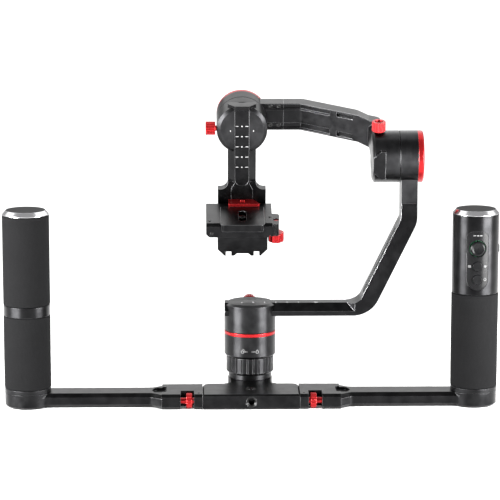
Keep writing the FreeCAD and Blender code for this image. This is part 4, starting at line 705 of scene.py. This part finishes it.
class GIMBAL_OT_make_foam(bpy.types.Operator):
    """Makes the foam sleeves: a closed profile with rounded ends carried round each grip's axis"""

    bl_idname = "gimbal.make_foam"
    bl_label = "Make the foam sleeves"

    def execute(self, context):
        sizes = context.scene.gimbal_shape
        material = foam_finish("Grip foam", context.scene.gimbal_finish.foam)
        ring_low, ring_high = (corner.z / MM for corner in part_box("left_mid_ring"))
        spans = {"left_foam_lower": ("left_foam", None, ring_low), "left_foam_upper": ("left_foam", ring_high, None),
                 "right_foam_sleeve": ("right_foam", None, None)}
        for name, (node, low, high) in spans.items():
            bottom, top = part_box(node)
            middle = (bottom + top) / 2 / MM
            radius = (top.x - bottom.x) / 2 / MM - SWELL_ROOM * sizes.foam_swell / MM
            low = bottom.z / MM if low is None else low
            high = top.z / MM if high is None else high
            body = NODES[node]["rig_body"]
            points, rows, columns = self.sleeve(middle, radius, low, high, sizes)
            sleeve = add_piece(name, points, grid_faces(rows, columns), material, body)
            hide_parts(node)
            dress(node, material)
        return {"FINISHED"}

    @staticmethod
    def sleeve(middle, radius, low, high, sizes):
        """Outer wall in even steps, quarter circles at both ends, and the inner wall back down."""
        edge, inner = sizes.foam_edge / MM, radius - FOAM_WALL
        quarter = np.linspace(0, math.pi / 2, 7)
        upper = np.stack([radius - edge + edge * np.cos(quarter), high - edge + edge * np.sin(quarter)], 1)
        lower = np.stack([upper[::-1, 0], low + high - upper[::-1, 1]], 1)
        wall = np.linspace(low + edge, high - edge, 40)[1:-1]
        outer = np.stack([np.full_like(wall, radius), wall], 1)
        back = np.array([[inner, high], [inner, low]])
        profile = np.concatenate([lower, outer, upper, back])
        count = 160
        return revolve(profile, middle.x, middle.y, count, sizes.foam_swell / MM), count, len(profile)


class GIMBAL_OT_make_arm_marks(bpy.types.Operator):
    """Prints the scales of the pan bar and the tilt bar and the index marks, and ribs the pan arm's elbow"""

    bl_idname = "gimbal.make_arm_marks"
    bl_label = "Print the bars' scales"

    def execute(self, context):
        ink = paint_finish("White ink", context.scene.gimbal_finish.ink)
        height = context.scene.gimbal_shape.ink_height / MM
        axis = Vector(JOINTS["tilt_axis"]["axis"])
        centre = Vector(JOINTS["tilt_axis"]["pos_m"]) / MM
        start = centre - axis * 60
        track = FlatPlace("tilt_arm", start, axis)
        strokes = []
        for number in range(5):
            row = SCALE_TOP - SCALE_STEP * number
            strokes += [dash(-4.6, row, 2.8, 0.55), dot(0, row, 0.62), dash(4.6, row, 2.8, 0.55)]
        add_strokes("tilt_bar_scale", strokes, track, height, ink, "tilt_arm")

        for name, side in (("left", -1), ("right", 1)):
            beside = FlatPlace("tilt_rotor", start + Vector((10.6 * side, 0, 0)), axis)
            add_strokes(f"tilt_index_{name}", [dash(0, -0.8, 1.3, 0.8, 90)], beside, height, ink,
                        "tilt_rotor")

        top = FlatPlace("pan_arm", (0, 45.2, 120.0), (0, 0, -1))
        ticks = [dash(-7.4 + TICK_STEP * number, 0.0, 3.4, 0.9, 90) for number in range(6)]
        ticks.append(dash(59.5, 0.0, 3.0, 3.4))
        add_strokes("pan_bar_scale", ticks, top, height, ink, "pan_arm")

        inner = FlatPlace("pan_arm", (62.0, 50.0, 147.8), (0.899, 0, -0.438), (0, 1, 0))
        ribs = [dash(0.0, RIB_STEP * number, 13.0, 0.9) for number in range(-15, 16)]
        metal_of_arm = NODES["pan_arm"].data.materials[0]
        add_strokes("elbow_ribs", ribs, inner, RIB_HEIGHT, metal_of_arm, "pan_arm")
        return {"FINISHED"}


class GIMBAL_OT_make_lock_marks(bpy.types.Operator):
    """Prints the lock and unlock signs with their arrows on the pan motor's base"""

    bl_idname = "gimbal.make_lock_marks"
    bl_label = "Print the lock signs"

    def execute(self, context):
        ink = paint_finish("Grey ink", toned(context.scene.gimbal_finish.ink, DIM_INK))
        low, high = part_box("pan_base_housing")
        middle = (low + high) / 2 / MM
        drum = RoundPlace(middle.x, middle.y, (high.x - low.x) / 2 / MM)
        level = LOCK_LEVEL
        strokes = [
            *arrow(-2.6, level, -2.8, 0.4, 0.8),
            *arrow(1.0, level, 2.8, 0.4, 0.8),
            arc(-7.2, level - 0.3, 1.2, 0, 360, 0.45),
            arc(-6.4, level + 1.1, 1.0, -10, 150, 0.35),
            arc(6.2, level - 0.3, 1.2, 0, 360, 0.45),
            arc(6.2, level + 0.9, 0.8, 0, 180, 0.35),
        ]
        height = context.scene.gimbal_shape.ink_height / MM
        add_strokes("lock_signs", strokes, drum, height, ink, "base")
        return {"FINISHED"}


class GIMBAL_OT_make_panel_marks(bpy.types.Operator):
    """Prints the control panel's signs: a status bar, a mode sign, a record ring and a power sign"""

    bl_idname = "gimbal.make_panel_marks"
    bl_label = "Print the panel's signs"

    def execute(self, context):
        ink = paint_finish("Panel ink", toned(context.scene.gimbal_finish.ink, DIM_INK))
        low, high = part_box("control_panel")
        head_low, head_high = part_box("right_head")
        middle = (head_low + head_high) / 2 / MM
        wall = RoundPlace(middle.x, middle.y, -low.y / MM)
        mode_low, mode_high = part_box("mode_button")
        power_low, power_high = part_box("power_button")
        mode = (mode_low.z + mode_high.z) / 2 / MM
        power = (power_low.z + power_high.z) / 2 / MM
        status = high.z / MM - 3.4
        strokes = [dash(offset, status, 2.0, 0.8) for offset in (-2.9, 0, 2.9)]
        strokes += [dash(-7.1, mode + 0.8, 2.3, 0.4), dash(-7.1, mode - 0.8, 2.3, 0.4),
                    dash(-8.1, mode, 1.6, 0.4, 90), dash(-6.1, mode, 1.6, 0.4, 90), dot(-7.1, mode, 0.35)]
        strokes += [arc(6.9, mode, 0.9, 0, 360, 0.35), dot(6.9, mode, 0.4)]
        strokes += [arc(6.9, power, 1.1, 120, 420, 0.4), dash(6.9, power + 0.9, 1.3, 0.4, 90)]
        height = context.scene.gimbal_shape.ink_height / MM
        add_strokes("panel_signs", strokes, wall, height, ink, NODES["control_panel"]["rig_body"])
        return {"FINISHED"}


class GIMBAL_OT_make_threads(bpy.types.Operator):
    """Cuts the screw threads of the two quarter-inch sockets"""

    bl_idname = "gimbal.make_threads"
    bl_label = "Cut the sockets' threads"

    def execute(self, context):
        sizes = context.scene.gimbal_shape
        material = NODES["thread_inserts"].data.materials[0]
        for mount in ("front_thread", "top_thread"):
            facts = MOUNTS[mount]
            radius, length = facts["dims"]["r_mm"], facts["dims"]["length_mm"]
            points, rows, columns = self.wall(radius, length, sizes)
            axis = Vector(facts["axis"])
            turn = np.array(Vector((0, 0, 1)).rotation_difference(axis).to_matrix())
            points = points @ turn.T + np.array(facts["pos_m"])
            piece = add_piece(f"{mount}_wall", points, grid_faces(rows, columns), material, "base")
            outward(piece)
        return {"FINISHED"}

    @staticmethod
    def wall(radius_mm, length_mm, sizes):
        """Inner radius: the socket's less a triangle wave of height over pitch minus turn; outer wall in the metal."""
        pitch, depth = sizes.thread_pitch / MM, sizes.thread_depth / MM
        rows = 72
        turn = np.linspace(0, 2 * math.pi, rows, endpoint=False)[:, None]
        height = np.linspace(-length_mm / 2, length_mm / 2, 64)[None, :]
        phase = (height / pitch - turn / (2 * math.pi)) % 1.0
        ridge = 1 - np.abs(2 * phase - 1)
        inner = radius_mm - THREAD_GAP - depth * ridge
        back = np.full((rows, 2), radius_mm + THREAD_BACKING)
        radius = np.concatenate([inner, back], 1)
        ends = np.array([[length_mm / 2, -length_mm / 2]])
        place = np.broadcast_to(np.concatenate([height, ends], 1), radius.shape)
        points = np.stack([radius * np.cos(turn), radius * np.sin(turn), place], -1).reshape(-1, 3) * MM
        return points, rows, radius.shape[1]


class GIMBAL_OT_set_stage(bpy.types.Operator):
    """Lays the plain floor, hangs the soft lights and places the camera"""

    bl_idname = "gimbal.set_stage"
    bl_label = "Set the stage"

    def execute(self, context):
        settings = context.scene.gimbal_stage
        self.floor(settings)
        self.light(context, settings)
        self.camera(context, settings)
        return {"FINISHED"}

    @staticmethod
    def floor(settings):
        """A square just under the object's feet."""
        half = settings.floor_size / 2
        corner = np.array([[-half, -half], [half, -half], [half, half], [-half, half]])
        points = np.concatenate([corner, np.full((4, 1), -0.0001)], 1)
        plane = add_piece("floor", points, [[0, 1, 2, 3]], floor_finish("Pale floor", settings.floor), None)

    @staticmethod
    def light(context, settings):
        """An even sky, a low soft light on each side and a wide one above and behind."""
        world = bpy.data.worlds.new("Even light")
        world.use_nodes = True
        sky = world.node_tree.nodes["Background"]
        sky.inputs["Color"].default_value = (1.0, 1.0, 1.0, 1.0)
        sky.inputs["Strength"].default_value = settings.ambient
        context.scene.world = world
        lamps = [
            ("left_soft_light", (-0.71, -0.38, 0.2), (0.5, 0.4), settings.side_light),
            ("right_soft_light", (0.71, -0.38, 0.2), (0.5, 0.4), settings.side_light),
            ("top_soft_light", (0.0, 5.0, 3.2), (9.0, 10.0), settings.top_light),
        ]
        for name, place, size, power in lamps:
            lamp = bpy.data.lights.new(name, "AREA")
            lamp.shape, lamp.size, lamp.size_y, lamp.energy = "RECTANGLE", *size, power
            holder = bpy.data.objects.new(name, lamp)
            context.scene.collection.objects.link(holder)
            holder.location = place
            aim = Vector((0, 0, -1)) if place[2] > 1 else Vector((-place[0], -place[1], 0))
            holder.rotation_euler = aim.to_track_quat("-Z", "Y").to_euler()
            holder.visible_camera = False

    @staticmethod
    def camera(context, settings):
        """A long lens at its place, turned to its target."""
        lens = bpy.data.cameras.new("view")
        lens.lens, lens.sensor_width = settings.lens, 36.0
        lens.clip_start, lens.clip_end = 0.05, 60.0
        holder = bpy.data.objects.new("view", lens)
        context.scene.collection.objects.link(holder)
        holder.location = settings.camera_place
        gaze = Vector(settings.camera_target) - Vector(settings.camera_place)
        holder.rotation_euler = gaze.to_track_quat("-Z", "Y").to_euler()
        context.scene.camera = holder


class GIMBAL_PT_looks(bpy.types.Panel):
    """Lists the steps that dress the gimbal stabilizer"""

    bl_idname = "GIMBAL_PT_looks"
    bl_label = "Gimbal stabilizer"
    bl_space_type = "VIEW_3D"
    bl_region_type = "UI"
    bl_category = "Gimbal"

    def draw(self, context):
        for operator in OPERATORS:
            self.layout.operator(operator.bl_idname)
        for name, settings in SETTINGS.items():
            box = self.layout.box()
            for field in settings.__annotations__:
                box.prop(getattr(context.scene, name), field)


OPERATORS = (
    GIMBAL_OT_finish_nodes,
    GIMBAL_OT_make_foam,
    GIMBAL_OT_make_arm_marks,
    GIMBAL_OT_make_lock_marks,
    GIMBAL_OT_make_panel_marks,
    GIMBAL_OT_make_threads,
    GIMBAL_OT_set_stage,
)
SETTINGS = {
    "gimbal_finish": GimbalFinishSettings,
    "gimbal_shape": GimbalShapeSettings,
    "gimbal_stage": GimbalStageSettings,
}


def register():
    """Makes the settings, the operators and the panel known."""
    for name, settings in SETTINGS.items():
        bpy.utils.register_class(settings)
        setattr(bpy.types.Scene, name, bpy.props.PointerProperty(type=settings))
    for operator in (*OPERATORS, GIMBAL_PT_looks):
        bpy.utils.register_class(operator)


def unregister():
    """Takes away what register added, last first."""
    for operator in (GIMBAL_PT_looks, *reversed(OPERATORS)):
        bpy.utils.unregister_class(operator)
    for name, settings in SETTINGS.items():
        delattr(bpy.types.Scene, name)
        bpy.utils.unregister_class(settings)


def main():
    """Dresses the object step by step."""
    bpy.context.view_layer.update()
    register()
    for operator in OPERATORS:
        area, name = operator.bl_idname.split(".")
        getattr(getattr(bpy.ops, area), name)()
    bpy.context.scene.view_settings.view_transform = "Standard"


if __name__ == "__main__":
    main()
